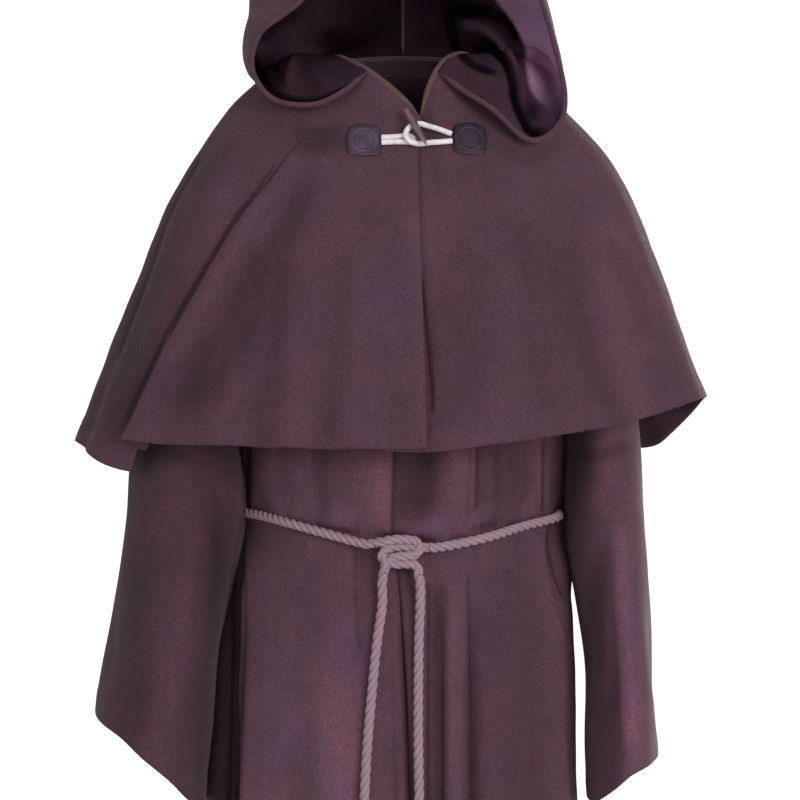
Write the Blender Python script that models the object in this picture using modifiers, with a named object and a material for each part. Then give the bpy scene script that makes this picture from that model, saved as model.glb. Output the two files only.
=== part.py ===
"""Hooded monk robe: a full-length robe with bell sleeves, a hooded shoulder cape and a rope belt.

Metres, +Z up. The front faces -Y. Left and right are the wearer's, so the left side is at +X.
The origin is the centre of the neck opening, at the height of the sides of the neck. A drop is a
distance down from the origin, and an angle is in degrees round the body from the centre front,
positive towards the wearer's left.
"""
import math
from collections import namedtuple

import bmesh
import bpy
from mathutils import Vector

# Cloth, leather and seams
CLOTH = 0.002
LEATHER = 0.0018
SEAM_GAP = 0.0003
SEAM_PULL = 0.00024

# Robe
CHEST_DROP = 0.300
HEM_DROP = 1.420
NECK_ANGLE = 38
ROBE_NECK_WIDTH = 0.080
ROBE_NECK_DROP = 0.014
ROBE_NECK_FRONT = Vector((0.0, -0.084, -0.094))
ROBE_NECK_BACK = Vector((0.0, 0.066, -0.006))
SHOULDER_TIP = Vector((0.196, 0.0, -0.098))
SHOULDER_ARCH = 0.0352
ARMHOLE_DEPTH = 0.066
SLEEVE_GAP_TOP = 0.0012
SLEEVE_GAP_UNDER = 0.0042

# Belt
BELT_FRONT_DROP = 0.512
BELT_SIDE_DROP = 0.484
BELT_BACK_DROP = 0.478
BELT_LEVEL = 0.500
BELT_SWAY_REACH = 0.09
BELT_PRESS = 0.9
BELT_PRESS_REACH = 0.020
BELT_SEAM_PULL = 0.0009
ROPE_DIAMETER = 0.010
ROPE_CLEARANCE = 0.0019
TAIL_CLEARANCE = 0.0009
KNOT_GAP = 0.0008
KNOT_CENTRE = Vector((-0.002, -0.1545, -0.518))
TAIL_END_DROP = 1.040

# Cape and hood
NECK_VEE_ANGLE = 14.5
NECK_VEE_DROP = 0.072
CAPE_EDGE_NECK_ANGLE = 14.5
CAPE_EDGE_HEM_ANGLE = 4.2
CAPE_UNDERLAP_ANGLE = -3.0
CAPE_UNDERLAP_DEPTH = 0.0046
HOOD_START_ANGLE = 34

# Toggle
CORD_DIAMETER = 0.005
PATCH_SIZE = 0.034
PATCH_LIFT = 0.0012
PATCH_ROUNDING = 0.30
RIGHT_PATCH_CENTRE = (-0.040, 0.0985)
LEFT_PATCH_CENTRE = (0.068, 0.0965)
CORD_STAND = 0.0004
TOGGLE_STAND = 0.0031
TOGGLE_LENGTH = 0.049

RobeSection = namedtuple("RobeSection", "drop centre half_width front back")
ROBE_SECTIONS = [
    RobeSection(0.300, -0.003, 0.176, 0.134, 0.112),
    RobeSection(0.380, -0.004, 0.164, 0.137, 0.114),
    RobeSection(0.450, -0.004, 0.160, 0.143, 0.119),
    RobeSection(0.500, -0.007, 0.152, 0.133, 0.110),
    RobeSection(0.560, -0.005, 0.173, 0.141, 0.123),
    RobeSection(0.650, -0.009, 0.184, 0.149, 0.137),
    RobeSection(0.800, -0.012, 0.193, 0.162, 0.156),
    RobeSection(1.000, -0.008, 0.216, 0.186, 0.188),
    RobeSection(1.200, -0.004, 0.254, 0.216, 0.220),
    RobeSection(1.420, 0.000, 0.298, 0.250, 0.254),
]

# A fold runs from its top to its bottom; its depth is outwards, so a valley's is negative.
RobeFold = namedtuple("RobeFold", "top_angle top_drop bottom_angle bottom_drop width depth hem_depth")
ROBE_FOLDS = [
    RobeFold(5.0, 0.340, 5.0, 0.500, 8.0, -0.010, -0.010),
    RobeFold(18.0, 0.340, 19.0, 0.500, 4.5, 0.006, 0.006),
    RobeFold(25.0, 0.360, 26.0, 0.500, 3.5, -0.005, -0.005),
    RobeFold(54.0, 0.340, 57.0, 0.500, 5.0, -0.005, -0.005),
    RobeFold(-32.0, 0.360, -31.0, 0.500, 6.0, -0.004, -0.004),
    RobeFold(-2.0, 0.530, 6.0, 1.420, 3.6, -0.008, -0.022),
    RobeFold(11.0, 0.530, 12.0, 0.900, 3.0, -0.006, -0.006),
    RobeFold(17.0, 0.520, 17.5, 1.100, 3.6, 0.005, 0.006),
    RobeFold(24.0, 0.520, 25.0, 1.420, 4.5, -0.007, -0.020),
    RobeFold(52.0, 0.620, 50.0, 1.420, 7.0, -0.002, -0.018),
    RobeFold(-30.0, 0.620, -26.0, 1.420, 7.0, -0.002, -0.020),
    RobeFold(-62.0, 0.540, -60.0, 1.420, 6.0, -0.008, -0.018),
    RobeFold(76.0, 0.560, 78.0, 1.420, 6.0, -0.003, -0.012),
    RobeFold(108.0, 0.560, 106.0, 1.420, 8.0, -0.004, -0.018),
    RobeFold(134.0, 0.540, 132.0, 1.420, 8.0, -0.005, -0.020),
    RobeFold(160.0, 0.540, 158.0, 1.420, 8.0, -0.005, -0.020),
    RobeFold(186.0, 0.540, 187.0, 1.420, 8.0, -0.005, -0.020),
    RobeFold(212.0, 0.540, 214.0, 1.420, 8.0, -0.005, -0.020),
    RobeFold(240.0, 0.540, 243.0, 1.420, 8.0, -0.005, -0.018),
]

# The outer line lies on top of the arm and the inner line under it; sideways sizes are from the middle.
# Towards the cuff the inner line leans forward, and the cuff arches up at its front and back.
CUFF_ARCH = 0.019
RIGHT_SLEEVE_LEAN = 0.050
LEFT_SLEEVE_LEAN = 0.020
SleeveSection = namedtuple("SleeveSection", "outer_side outer_drop inner_side inner_drop half_depth")
RIGHT_SLEEVE = [
    SleeveSection(0.214, 0.130, 0.185, 0.322, 0.078),
    SleeveSection(0.234, 0.186, 0.184, 0.358, 0.082),
    SleeveSection(0.255, 0.258, 0.181, 0.404, 0.087),
    SleeveSection(0.276, 0.350, 0.178, 0.456, 0.092),
    SleeveSection(0.291, 0.440, 0.179, 0.508, 0.096),
    SleeveSection(0.301, 0.527, 0.188, 0.575, 0.102),
    SleeveSection(0.311, 0.602, 0.197, 0.650, 0.109),
    SleeveSection(0.322, 0.664, 0.207, 0.736, 0.116),
    SleeveSection(0.327, 0.696, 0.212, 0.790, 0.120),
]
LEFT_SLEEVE = [
    SleeveSection(0.211, 0.130, 0.180, 0.322, 0.078),
    SleeveSection(0.224, 0.190, 0.176, 0.358, 0.082),
    SleeveSection(0.236, 0.264, 0.171, 0.404, 0.086),
    SleeveSection(0.247, 0.350, 0.168, 0.456, 0.090),
    SleeveSection(0.255, 0.440, 0.172, 0.508, 0.094),
    SleeveSection(0.260, 0.530, 0.184, 0.575, 0.099),
    SleeveSection(0.264, 0.610, 0.191, 0.650, 0.106),
    SleeveSection(0.268, 0.690, 0.197, 0.740, 0.112),
    SleeveSection(0.271, 0.742, 0.201, 0.792, 0.116),
]

# The share runs from the neckline, 0, to the hem, 1.
CapeSection = namedtuple(
    "CapeSection", "share right right_drop left left_drop front front_drop back back_drop"
)
CAPE_SECTIONS = [
    CapeSection(0.00, 0.072, 0.000, 0.072, 0.000, 0.085, 0.072, 0.070, -0.012),
    CapeSection(0.12, 0.110, 0.004, 0.110, 0.004, 0.100, 0.090, 0.088, 0.002),
    CapeSection(0.24, 0.150, 0.018, 0.148, 0.024, 0.115, 0.120, 0.108, 0.035),
    CapeSection(0.34, 0.184, 0.050, 0.180, 0.060, 0.130, 0.150, 0.126, 0.075),
    CapeSection(0.44, 0.216, 0.095, 0.214, 0.097, 0.143, 0.185, 0.142, 0.125),
    CapeSection(0.56, 0.248, 0.149, 0.246, 0.149, 0.156, 0.225, 0.158, 0.180),
    CapeSection(0.70, 0.284, 0.235, 0.274, 0.222, 0.171, 0.285, 0.175, 0.262),
    CapeSection(0.85, 0.319, 0.322, 0.299, 0.293, 0.187, 0.350, 0.190, 0.345),
    CapeSection(1.00, 0.351, 0.408, 0.325, 0.360, 0.200, 0.414, 0.203, 0.430),
]

CapeFold = namedtuple("CapeFold", "neck_angle hem_angle width depth hem_depth")
CAPE_FOLDS = [
    CapeFold(-30.0, -45.0, 7.0, -0.001, -0.008),
    CapeFold(-20.0, -26.0, 9.0, 0.001, 0.004),
    CapeFold(-74.0, -77.0, 5.0, -0.002, -0.006),
    CapeFold(24.0, 28.0, 10.0, 0.001, 0.005),
    CapeFold(46.0, 50.0, 8.0, -0.001, -0.007),
    CapeFold(66.0, 68.0, 7.0, 0.001, 0.005),
    CapeFold(112.0, 112.0, 9.0, -0.002, -0.012),
    CapeFold(142.0, 140.0, 9.0, -0.002, -0.012),
    CapeFold(172.0, 168.0, 9.0, -0.002, -0.012),
    CapeFold(198.0, 200.0, 9.0, -0.002, -0.012),
    CapeFold(226.0, 232.0, 9.0, -0.002, -0.012),
]

HemDip = namedtuple("HemDip", "angle width drop")
BACK_DIP = HemDip(118.0, 18.0, 0.039)
SIDE_DIP = HemDip(-62.0, 8.0, 0.020)

# The right front lies over the cape's side in one long step that deepens towards the hem.
STEP_NECK_ANGLE = -40.0
STEP_HEM_ANGLE = -58.5
STEP_RISE = 0.013
STEP_FALL = 0.012
STEP_RISE_WIDTH = 16.0
STEP_FALL_WIDTH = 9.0
STEP_EDGE = 1.4

# The hood's two halves share the seam over the crown and down the back. The share runs from the
# neckline, 0, to the front of the crown, 1, and each half has a row for each of the seam's rows.
HoodSeam = namedtuple("HoodSeam", "share back back_drop")
HOOD_SEAM = [
    HoodSeam(0.00, 0.070, -0.012),
    HoodSeam(0.08, 0.083, -0.026),
    HoodSeam(0.15, 0.096, -0.040),
    HoodSeam(0.22, 0.112, -0.057),
    HoodSeam(0.30, 0.128, -0.078),
    HoodSeam(0.38, 0.141, -0.102),
    HoodSeam(0.46, 0.149, -0.127),
    HoodSeam(0.54, 0.151, -0.154),
    HoodSeam(0.63, 0.146, -0.184),
    HoodSeam(0.72, 0.134, -0.213),
    HoodSeam(0.81, 0.116, -0.240),
    HoodSeam(0.89, 0.096, -0.262),
    HoodSeam(0.95, 0.075, -0.278),
    HoodSeam(1.00, 0.052, -0.288),
]

# Each row runs from the rim of the hood, round its widest place, to the seam.
HoodRow = namedtuple("HoodRow", "rim_side rim_forward rim_drop widest side_drop")
RIGHT_HOOD = [
    HoodRow(0.040, 0.071, 0.022, 0.074, 0.000),
    HoodRow(0.066, 0.091, 0.046, 0.100, -0.008),
    HoodRow(0.096, 0.102, 0.059, 0.128, -0.008),
    HoodRow(0.134, 0.099, 0.052, 0.158, 0.009),
    HoodRow(0.155, 0.096, 0.021, 0.167, -0.008),
    HoodRow(0.147, 0.098, -0.014, 0.165, -0.040),
    HoodRow(0.123, 0.101, -0.033, 0.163, -0.069),
    HoodRow(0.103, 0.103, -0.050, 0.161, -0.098),
    HoodRow(0.087, 0.107, -0.085, 0.154, -0.136),
    HoodRow(0.079, 0.110, -0.130, 0.141, -0.177),
    HoodRow(0.068, 0.112, -0.180, 0.117, -0.220),
    HoodRow(0.050, 0.110, -0.218, 0.086, -0.257),
    HoodRow(0.030, 0.107, -0.240, 0.053, -0.280),
    HoodRow(0.000, 0.104, -0.254, 0.000, -0.296),
]
LEFT_HOOD = [
    HoodRow(0.040, 0.071, 0.022, 0.074, 0.000),
    HoodRow(0.064, 0.093, 0.044, 0.100, -0.011),
    HoodRow(0.092, 0.107, 0.064, 0.128, -0.010),
    HoodRow(0.130, 0.107, 0.096, 0.154, 0.000),
    HoodRow(0.160, 0.099, 0.080, 0.166, -0.010),
    HoodRow(0.167, 0.092, 0.047, 0.167, -0.028),
    HoodRow(0.156, 0.092, -0.004, 0.158, -0.052),
    HoodRow(0.144, 0.098, -0.043, 0.147, -0.082),
    HoodRow(0.132, 0.104, -0.080, 0.143, -0.125),
    HoodRow(0.113, 0.108, -0.125, 0.132, -0.170),
    HoodRow(0.091, 0.111, -0.172, 0.114, -0.216),
    HoodRow(0.065, 0.110, -0.212, 0.085, -0.254),
    HoodRow(0.038, 0.107, -0.238, 0.053, -0.279),
    HoodRow(0.000, 0.104, -0.254, 0.000, -0.296),
]

# Grid counts: columns across a panel and rows down it; the robe's rows lie closer at the belt
ROBE_COLUMNS = (32, 20)
ROBE_YOKE_ROWS = 4
ROBE_LEVELS = [
    0.300, 0.350, 0.400, 0.445, 0.480, 0.500, 0.520, 0.560, 0.620,
    0.700, 0.800, 0.920, 1.050, 1.180, 1.300, 1.420,
]
SLEEVE_GRID = (18, 10)
CAPE_FRONT_GRID = (20, 11)
CAPE_BACK_GRID = (22, 10)
HOOD_GRID = (14, 13)
PATCH_GRID = 6
WAIST_STEPS = 46
TAIL_STEPS = 20
KNOT_STEPS = 16
TURNED_STEPS = 10


def clamp(value):
    """The value, kept between 0 and 1."""
    return max(0.0, min(1.0, value))


def ease(value):
    """A soft step from 0 to 1."""
    value = clamp(value)
    return value * value * (3 - 2 * value)


def mix(a, b, share):
    return a + (b - a) * share


def bump(value, width):
    """A soft hill of height 1 at 0."""
    return math.exp(-((value / width) ** 2))


def curve_through(places, values, place):
    """A smooth curve through the values at the places, read at one place."""
    last = len(places) - 1
    i = 0
    while i < last - 1 and place > places[i + 1]:
        i += 1

    def slope(k):
        low = max(k - 1, 0)
        high = min(k + 1, last)
        return (values[high] - values[low]) / (places[high] - places[low])

    span = places[i + 1] - places[i]
    t = (place - places[i]) / span
    rise = (2 * t - 3) * t * t
    return (
        values[i] * (1 + rise)
        + values[i + 1] * -rise
        + slope(i) * (span * t * (1 - t) ** 2)
        + slope(i + 1) * (span * t * t * (t - 1))
    )


def read_table(table, key, place):
    """A row read between a table's rows, with each column on its own smooth curve."""
    places = [getattr(row, key) for row in table]
    return type(table[0])(*[curve_through(places, column, place) for column in zip(*table)])


def off_front(angle):
    """How far an angle lies from the centre front, 0 to 180."""
    return abs((angle + 180) % 360 - 180)


def angle_between(angle, other):
    return (angle - other + 180) % 360 - 180


# Robe


def belt_drop(angle):
    """The belt's height: lowest at the knot and highest at the back."""
    away = off_front(angle)
    if away <= 90:
        return mix(BELT_FRONT_DROP, BELT_SIDE_DROP, away / 90)
    return mix(BELT_SIDE_DROP, BELT_BACK_DROP, (away - 90) / 90)


def robe_fold_depth(angle, drop):
    """The height of all the robe's folds at a place, pressed flat under the belt."""
    depth = 0.0
    for fold in ROBE_FOLDS:
        run = (drop - fold.top_drop) / (fold.bottom_drop - fold.top_drop)
        if not 0 < run <= 1:
            continue
        fade = ease(run / 0.18)
        if fold.bottom_drop < HEM_DROP:
            fade *= ease((1 - run) / 0.18)
        centre = mix(fold.top_angle, fold.bottom_angle, run)
        size = mix(fold.depth, fold.hem_depth, run)
        depth += size * fade * bump(angle_between(angle, centre), fold.width)
    pressed = BELT_PRESS * bump(drop - belt_drop(angle), BELT_PRESS_REACH)
    return depth * (1 - pressed)


def robe_point(angle, level, folds=True):
    """A point of the robe's cloth and its outward direction. Its level is its drop with a level belt."""
    section = read_table(ROBE_SECTIONS, "drop", level)
    drop = level + (belt_drop(angle) - BELT_LEVEL) * bump(level - BELT_LEVEL, BELT_SWAY_REACH)
    turn = math.radians(angle)
    forward = math.cos(turn)
    depth = section.front if forward > 0 else section.back
    outward = Vector((math.sin(turn) / section.half_width, -forward / depth, 0)).normalized()
    point = Vector((section.centre + section.half_width * math.sin(turn), -depth * forward, -drop))
    if folds:
        point += outward * robe_fold_depth(angle, drop)
    return point, outward


def robe_top(angle):
    """The robe's top line: the shoulder seam, then the neckline."""
    away = off_front(angle)
    side = 1 if angle_between(angle, 0) >= 0 else -1
    front = away <= 90
    from_middle = away if front else 180 - away
    if from_middle >= NECK_ANGLE:
        along = (from_middle - NECK_ANGLE) / (90 - NECK_ANGLE)
        x = mix(ROBE_NECK_WIDTH, SHOULDER_TIP.x, along)
        z = mix(-ROBE_NECK_DROP, SHOULDER_TIP.z, along) + SHOULDER_ARCH * math.sin(math.pi * along)
        return Vector((side * x, 0, z))
    turn = math.radians(from_middle / NECK_ANGLE * 90)
    middle = ROBE_NECK_FRONT if front else ROBE_NECK_BACK
    x = side * ROBE_NECK_WIDTH * math.sin(turn)
    return Vector((x, middle.y * math.cos(turn), mix(middle.z, -ROBE_NECK_DROP, 1 - math.cos(turn))))


def robe_yoke_point(angle, share):
    """A point between the chest, share 0, and the top line, share 1."""
    chest, _ = robe_point(angle, CHEST_DROP)
    top = robe_top(angle)
    from_middle = min(off_front(angle), 180 - off_front(angle))
    front = off_front(angle) <= 90
    point = chest.lerp(top, share)
    point.y = mix(top.y, chest.y, math.cos(share * math.pi / 2) ** 0.8)
    hollow = math.sin(math.pi * share) ** 0.8 * (from_middle / 90) ** 5
    point.y += (-1 if front else 1) * ARMHOLE_DEPTH * hollow
    return point


def armhole_point(side, turn):
    """A point of the armhole, with turn 0 on the shoulder and growing backwards on the left side."""
    share = (1 + math.cos(turn)) / 2
    backward = side * math.sin(turn) >= 0
    angle = side * (90.001 if backward else 90)
    return robe_yoke_point(angle, share)


def robe_panel(columns, first_angle, last_angle, crowding):
    """Rows of points from the top line to the hem, closer together at the panel's middle."""
    middle = (first_angle + last_angle) / 2
    half = (last_angle - first_angle) / 2
    angles = []
    for i in range(columns + 1):
        w = 2 * i / columns - 1
        angles.append(middle + half * mix(w ** 3, w, crowding))
    shares = [1 - j / ROBE_YOKE_ROWS for j in range(ROBE_YOKE_ROWS)]
    rows = [[robe_yoke_point(angle, share) for angle in angles] for share in shares]
    return rows + [[robe_point(angle, level)[0] for angle in angles] for level in ROBE_LEVELS]


def drawn_back(edge, inner, pull):
    """An edge's points, moved a little towards the row or column inside it."""
    return [point + (beside - point).normalized() * pull for point, beside in zip(edge, inner)]


def robe_rows(front):
    """The rows of the bodice and those of the skirt, which meet under the rope belt."""
    if front:
        rows = robe_panel(ROBE_COLUMNS[0], -90, 90, 0.62)
    else:
        rows = robe_panel(ROBE_COLUMNS[1], 90.001, 269.999, 0.85)
    belt_row = ROBE_YOKE_ROWS + ROBE_LEVELS.index(BELT_LEVEL)
    bodice = rows[: belt_row + 1]
    skirt = rows[belt_row:]
    bodice[-1] = drawn_back(bodice[-1], bodice[-2], BELT_SEAM_PULL)
    skirt[0] = drawn_back(skirt[0], skirt[1], BELT_SEAM_PULL)
    return bodice, skirt


# Sleeves


def sleeve_rows(table, side, lean):
    """Rings from the armhole down to the slanted cuff."""
    columns, count = SLEEVE_GRID
    places = [i / len(table) for i in range(len(table) + 1)]
    rings = []
    for i in range(columns):
        turn = 2 * math.pi * i / columns
        start = armhole_point(side, turn)
        start.x += side * mix(SLEEVE_GAP_UNDER, SLEEVE_GAP_TOP, ((1 + math.cos(turn)) / 2) ** 3)
        line = [start]
        for section, place in zip(table, places[1:]):
            outer = Vector((side * section.outer_side, 0, -section.outer_drop))
            inner = Vector((side * section.inner_side, -lean * place, -section.inner_drop))
            point = inner.lerp(outer, (1 + math.cos(turn)) / 2)
            point.y += side * section.half_depth * math.sin(turn)
            point.z += CUFF_ARCH * (place * math.sin(turn)) ** 2
            line.append(point)
        rings.append([curve_through(places, line, j / count) for j in range(count + 1)])
    return [list(row) for row in zip(*rings)]


# Cape


def neckline_drop(angle):
    """The cape's neckline, which falls to a narrow vee beside the front edge."""
    away = angle_between(angle, NECK_VEE_ANGLE)
    if away <= 0:
        return NECK_VEE_DROP * clamp(1 + away / (90 + NECK_VEE_ANGLE)) ** 2.1
    return NECK_VEE_DROP * clamp(1 - away / (90 - NECK_VEE_ANGLE)) ** 5.2


def cape_step(angle, share):
    """The step where the right front lies over the side of the cape."""
    away = angle - mix(STEP_NECK_ANGLE, STEP_HEM_ANGLE, share)
    grown = ease((share - 0.10) / 0.9)
    if away >= 0:
        height = STEP_RISE * bump(away, STEP_RISE_WIDTH)
    else:
        height = -STEP_FALL * bump(away, STEP_FALL_WIDTH)
    return height * grown * math.tanh(abs(away) / STEP_EDGE)


def cape_fold_depth(angle, share):
    depth = cape_step(angle_between(angle, 0), share)
    for fold in CAPE_FOLDS:
        centre = mix(fold.neck_angle, fold.hem_angle, share)
        size = mix(fold.depth, fold.hem_depth, share) * ease(share / 0.3)
        depth += size * bump(angle_between(angle, centre), fold.width)
    return depth


def hem_dip(angle):
    """How much lower the cape's hem hangs than its sections say, beside the step only under it."""
    behind = ease((STEP_HEM_ANGLE - angle_between(angle, 0)) / STEP_EDGE)
    side = SIDE_DIP.drop * bump(angle_between(angle, SIDE_DIP.angle), SIDE_DIP.width)
    return BACK_DIP.drop * bump(angle_between(angle, BACK_DIP.angle), BACK_DIP.width) + behind * side


def cape_line(angle):
    """The points down the cape at one angle, one for each section."""
    turn = math.radians(angle)
    across = math.sin(turn)
    forward = math.cos(turn)
    points = []
    for section in CAPE_SECTIONS:
        left = across >= 0
        half_width = section.left if left else section.right
        side_drop = section.left_drop if left else section.right_drop
        depth = section.front if forward > 0 else section.back
        end_drop = section.front_drop if forward > 0 else section.back_drop
        drop = mix(side_drop, end_drop, forward * forward)
        if section.share == 0 and forward > 0:
            drop = neckline_drop(angle)
        drop += hem_dip(angle) * section.share ** 3
        points.append(Vector((half_width * across, -depth * forward, -drop)))
    return points


def cape_point(angle, share):
    """A point of the cape's cloth."""
    places = [section.share for section in CAPE_SECTIONS]
    point = curve_through(places, cape_line(angle), share)
    turn = math.radians(angle)
    outward = Vector((math.sin(turn), -math.cos(turn), 0.35)).normalized()
    return point + outward * cape_fold_depth(angle, share)


def cape_edge_angle(share):
    """The right front's free edge, which is nearly plumb."""
    return mix(CAPE_EDGE_HEM_ANGLE, CAPE_EDGE_NECK_ANGLE, (1 - share) ** 6.2)


def cape_rows(grid, first_angle, last_angle, lift):
    """Rows from the neckline to the hem, between two edges given as angles at each share."""
    columns, count = grid
    rows = []
    for j in range(count + 1):
        share = j / count
        first = first_angle(share)
        last = last_angle(share)
        row = []
        for i in range(columns + 1):
            angle = mix(first, last, i / columns)
            point = cape_point(angle, share)
            turn = math.radians(angle)
            outward = Vector((math.sin(turn), -math.cos(turn), 0.6)).normalized()
            row.append(point + outward * lift(angle, share))
        rows.append(row)
    return rows


def cape_front_right_rows():
    return cape_rows(CAPE_FRONT_GRID, lambda share: -90, cape_edge_angle, lambda angle, share: 0)


def left_front_lift(angle, share):
    """The left front's edge lies behind the right front's."""
    clear = ease((angle - cape_edge_angle(share) - 4) / 8)
    return -CAPE_UNDERLAP_DEPTH * (1 - clear)


def cape_front_left_rows():
    return cape_rows(
        CAPE_FRONT_GRID,
        lambda share: mix(CAPE_UNDERLAP_ANGLE, 6.0, (1 - share) ** 2),
        lambda share: 90,
        left_front_lift,
    )


def cape_back_rows():
    return cape_rows(CAPE_BACK_GRID, lambda share: 90, lambda share: 270, lambda angle, share: 0)


# Hood


def hood_ring_point(row, seam, side, run):
    """A point on one row, from the rim, run 0, to the seam, run 1."""
    rim_side = max(row.rim_side, 0.0)
    widest = max(row.widest, rim_side, 1e-6)
    start = -math.acos(clamp(rim_side / widest))
    turn = mix(start, math.pi / 2, run)
    half_depth = (seam.back + row.rim_forward) / (1 - math.sin(start))
    y = seam.back - half_depth * (1 - math.sin(turn))
    end_drop = row.rim_drop if run < 0.5 else seam.back_drop
    toward_end = (1 - 2 * run) ** 2 if run < 0.5 else ease(2 * run - 1)
    drop = mix(row.side_drop, end_drop, toward_end)
    return Vector((side * (widest * math.cos(turn) + SEAM_GAP), y, -drop))


def hood_seat(side, run):
    """The hood's seam on the cape's neckline, raised clear of the cape's wall."""
    angle = side * mix(HOOD_START_ANGLE, 180, run)
    edge = cape_point(angle, 0)
    down = cape_point(angle, 0.03) - edge
    turn = math.radians(angle)
    along = Vector((math.cos(turn), math.sin(turn), 0))
    normal = down.cross(along).normalized()
    return edge + normal * (2 * CLOTH + 3 * SEAM_GAP)


def hood_rows(table, side):
    """Rows from the crown down to the neckline."""
    columns, count = HOOD_GRID
    places = [seam.share for seam in HOOD_SEAM]
    rows = []
    for j in range(count + 1):
        place = 1 - j / count
        row = HoodRow(*[curve_through(places, column, place) for column in zip(*table)])
        seam = read_table(HOOD_SEAM, "share", place)
        seated = (1 - clamp(place / places[2])) ** 2
        points = []
        for i in range(columns + 1):
            run = i / columns
            point = hood_ring_point(row, seam, side, run)
            shift = hood_seat(side, run) - hood_ring_point(table[0], HOOD_SEAM[0], side, run)
            points.append(point + shift * seated)
        rows.append(points)
    return rows


# Toggle fastening


def place_on_cape(side, drop):
    """The angle and share of the cape's place at a distance to the side and a drop."""
    share = 0.3
    angle = 0.0
    low = 0.0
    high = 0.7
    for _ in range(40):
        share = (low + high) / 2
        angle = 0.0
        for _ in range(12):
            half_width = max(abs(cape_point(90 if side > 0 else -90, share).x), 0.01)
            angle = math.degrees(math.asin(max(-1, min(1, side / half_width))))
        if -cape_point(angle, share).z < drop:
            low = share
        else:
            high = share
    return angle, share


def cape_surface(side, drop, out):
    """A point standing out from the cape's inner face, at a distance to the side and a drop."""
    angle, share = place_on_cape(side, drop)
    here = cape_point(angle, share)
    down = cape_point(angle, share + 0.02) - here
    along = cape_point(angle + 1, share) - here
    return here + down.cross(along).normalized() * out


def patch_rows(side, drop):
    """A rounded square of leather, lying on the cape."""
    rows = []
    half = PATCH_SIZE / 2
    for j in range(PATCH_GRID + 1):
        row = []
        for i in range(PATCH_GRID + 1):
            u = 2 * i / PATCH_GRID - 1
            v = 2 * j / PATCH_GRID - 1
            x = u * math.sqrt(1 - PATCH_ROUNDING * v * v)
            y = v * math.sqrt(1 - PATCH_ROUNDING * u * u)
            row.append(cape_surface(side + half * x, drop + half * y, CLOTH + PATCH_LIFT))
        rows.append(row)
    return rows


CordStop = namedtuple("CordStop", "side drop out")
FIRST_LAYER = CLOTH + SEAM_GAP + CORD_DIAMETER / 2 + CORD_STAND
SECOND_LAYER = FIRST_LAYER + CORD_DIAMETER + SEAM_GAP
TOGGLE_LAYER = SECOND_LAYER + CORD_DIAMETER / 2 + TOGGLE_STAND
TOGGLE_CORD = [
    CordStop(-0.0222, 0.0958, FIRST_LAYER),
    CordStop(-0.0100, 0.0945, FIRST_LAYER),
    CordStop(0.0010, 0.0905, FIRST_LAYER),
    CordStop(0.0090, 0.0900, FIRST_LAYER),
    CordStop(0.0128, 0.0965, FIRST_LAYER),
    CordStop(0.0090, 0.1030, FIRST_LAYER),
    CordStop(0.0010, 0.1035, FIRST_LAYER),
    CordStop(-0.0100, 0.1028, FIRST_LAYER),
    CordStop(-0.0222, 0.1030, FIRST_LAYER),
]
LOOP_CORD = [
    CordStop(0.0498, 0.0930, FIRST_LAYER),
    CordStop(0.0400, 0.0900, FIRST_LAYER + 0.0020),
    CordStop(0.0280, 0.0865, SECOND_LAYER),
    CordStop(0.0160, 0.0850, SECOND_LAYER),
    CordStop(0.0065, 0.0880, SECOND_LAYER),
    CordStop(0.0030, 0.0960, SECOND_LAYER),
    CordStop(0.0075, 0.1040, SECOND_LAYER),
    CordStop(0.0170, 0.1060, SECOND_LAYER),
    CordStop(0.0290, 0.1045, SECOND_LAYER),
    CordStop(0.0400, 0.1025, FIRST_LAYER + 0.0020),
    CordStop(0.0498, 0.1005, FIRST_LAYER),
]
TOGGLE_TOP = CordStop(0.0000, 0.0700, TOGGLE_LAYER)
TOGGLE_TIP = CordStop(0.0243, 0.1110, TOGGLE_LAYER)

# Half the toggle's profile: the share of its length from the top end, and its radius
TurnedRing = namedtuple("TurnedRing", "share radius")
TOGGLE_PROFILE = [
    TurnedRing(0.00, 0.0),
    TurnedRing(0.02, 0.0018),
    TurnedRing(0.08, 0.0028),
    TurnedRing(0.25, 0.0037),
    TurnedRing(0.45, 0.0041),
    TurnedRing(0.65, 0.0037),
    TurnedRing(0.82, 0.0028),
    TurnedRing(0.94, 0.0016),
    TurnedRing(0.99, 0.0007),
    TurnedRing(1.00, 0.0),
]

# Rope ends: the share of the knot's length and its radius
ROPE_END_LENGTH = 0.060
ROPE_END_RADIUS = 0.0112
ROPE_END_PROFILE = [
    TurnedRing(0.00, 0.0),
    TurnedRing(0.01, 0.0048),
    TurnedRing(0.08, 0.0080),
    TurnedRing(0.20, ROPE_END_RADIUS),
    TurnedRing(0.32, ROPE_END_RADIUS),
    TurnedRing(0.44, 0.0076),
    TurnedRing(0.50, 0.0052),
    TurnedRing(0.75, 0.0058),
    TurnedRing(0.97, 0.0070),
    TurnedRing(1.00, 0.0),
]


# Rope belt


def rope_point(angle):
    """The belt rope's centre line, lying on the robe."""
    point, outward = robe_point(angle, belt_drop(angle), folds=False)
    return point + outward * (CLOTH + ROPE_CLEARANCE + ROPE_DIAMETER / 2)


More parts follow.
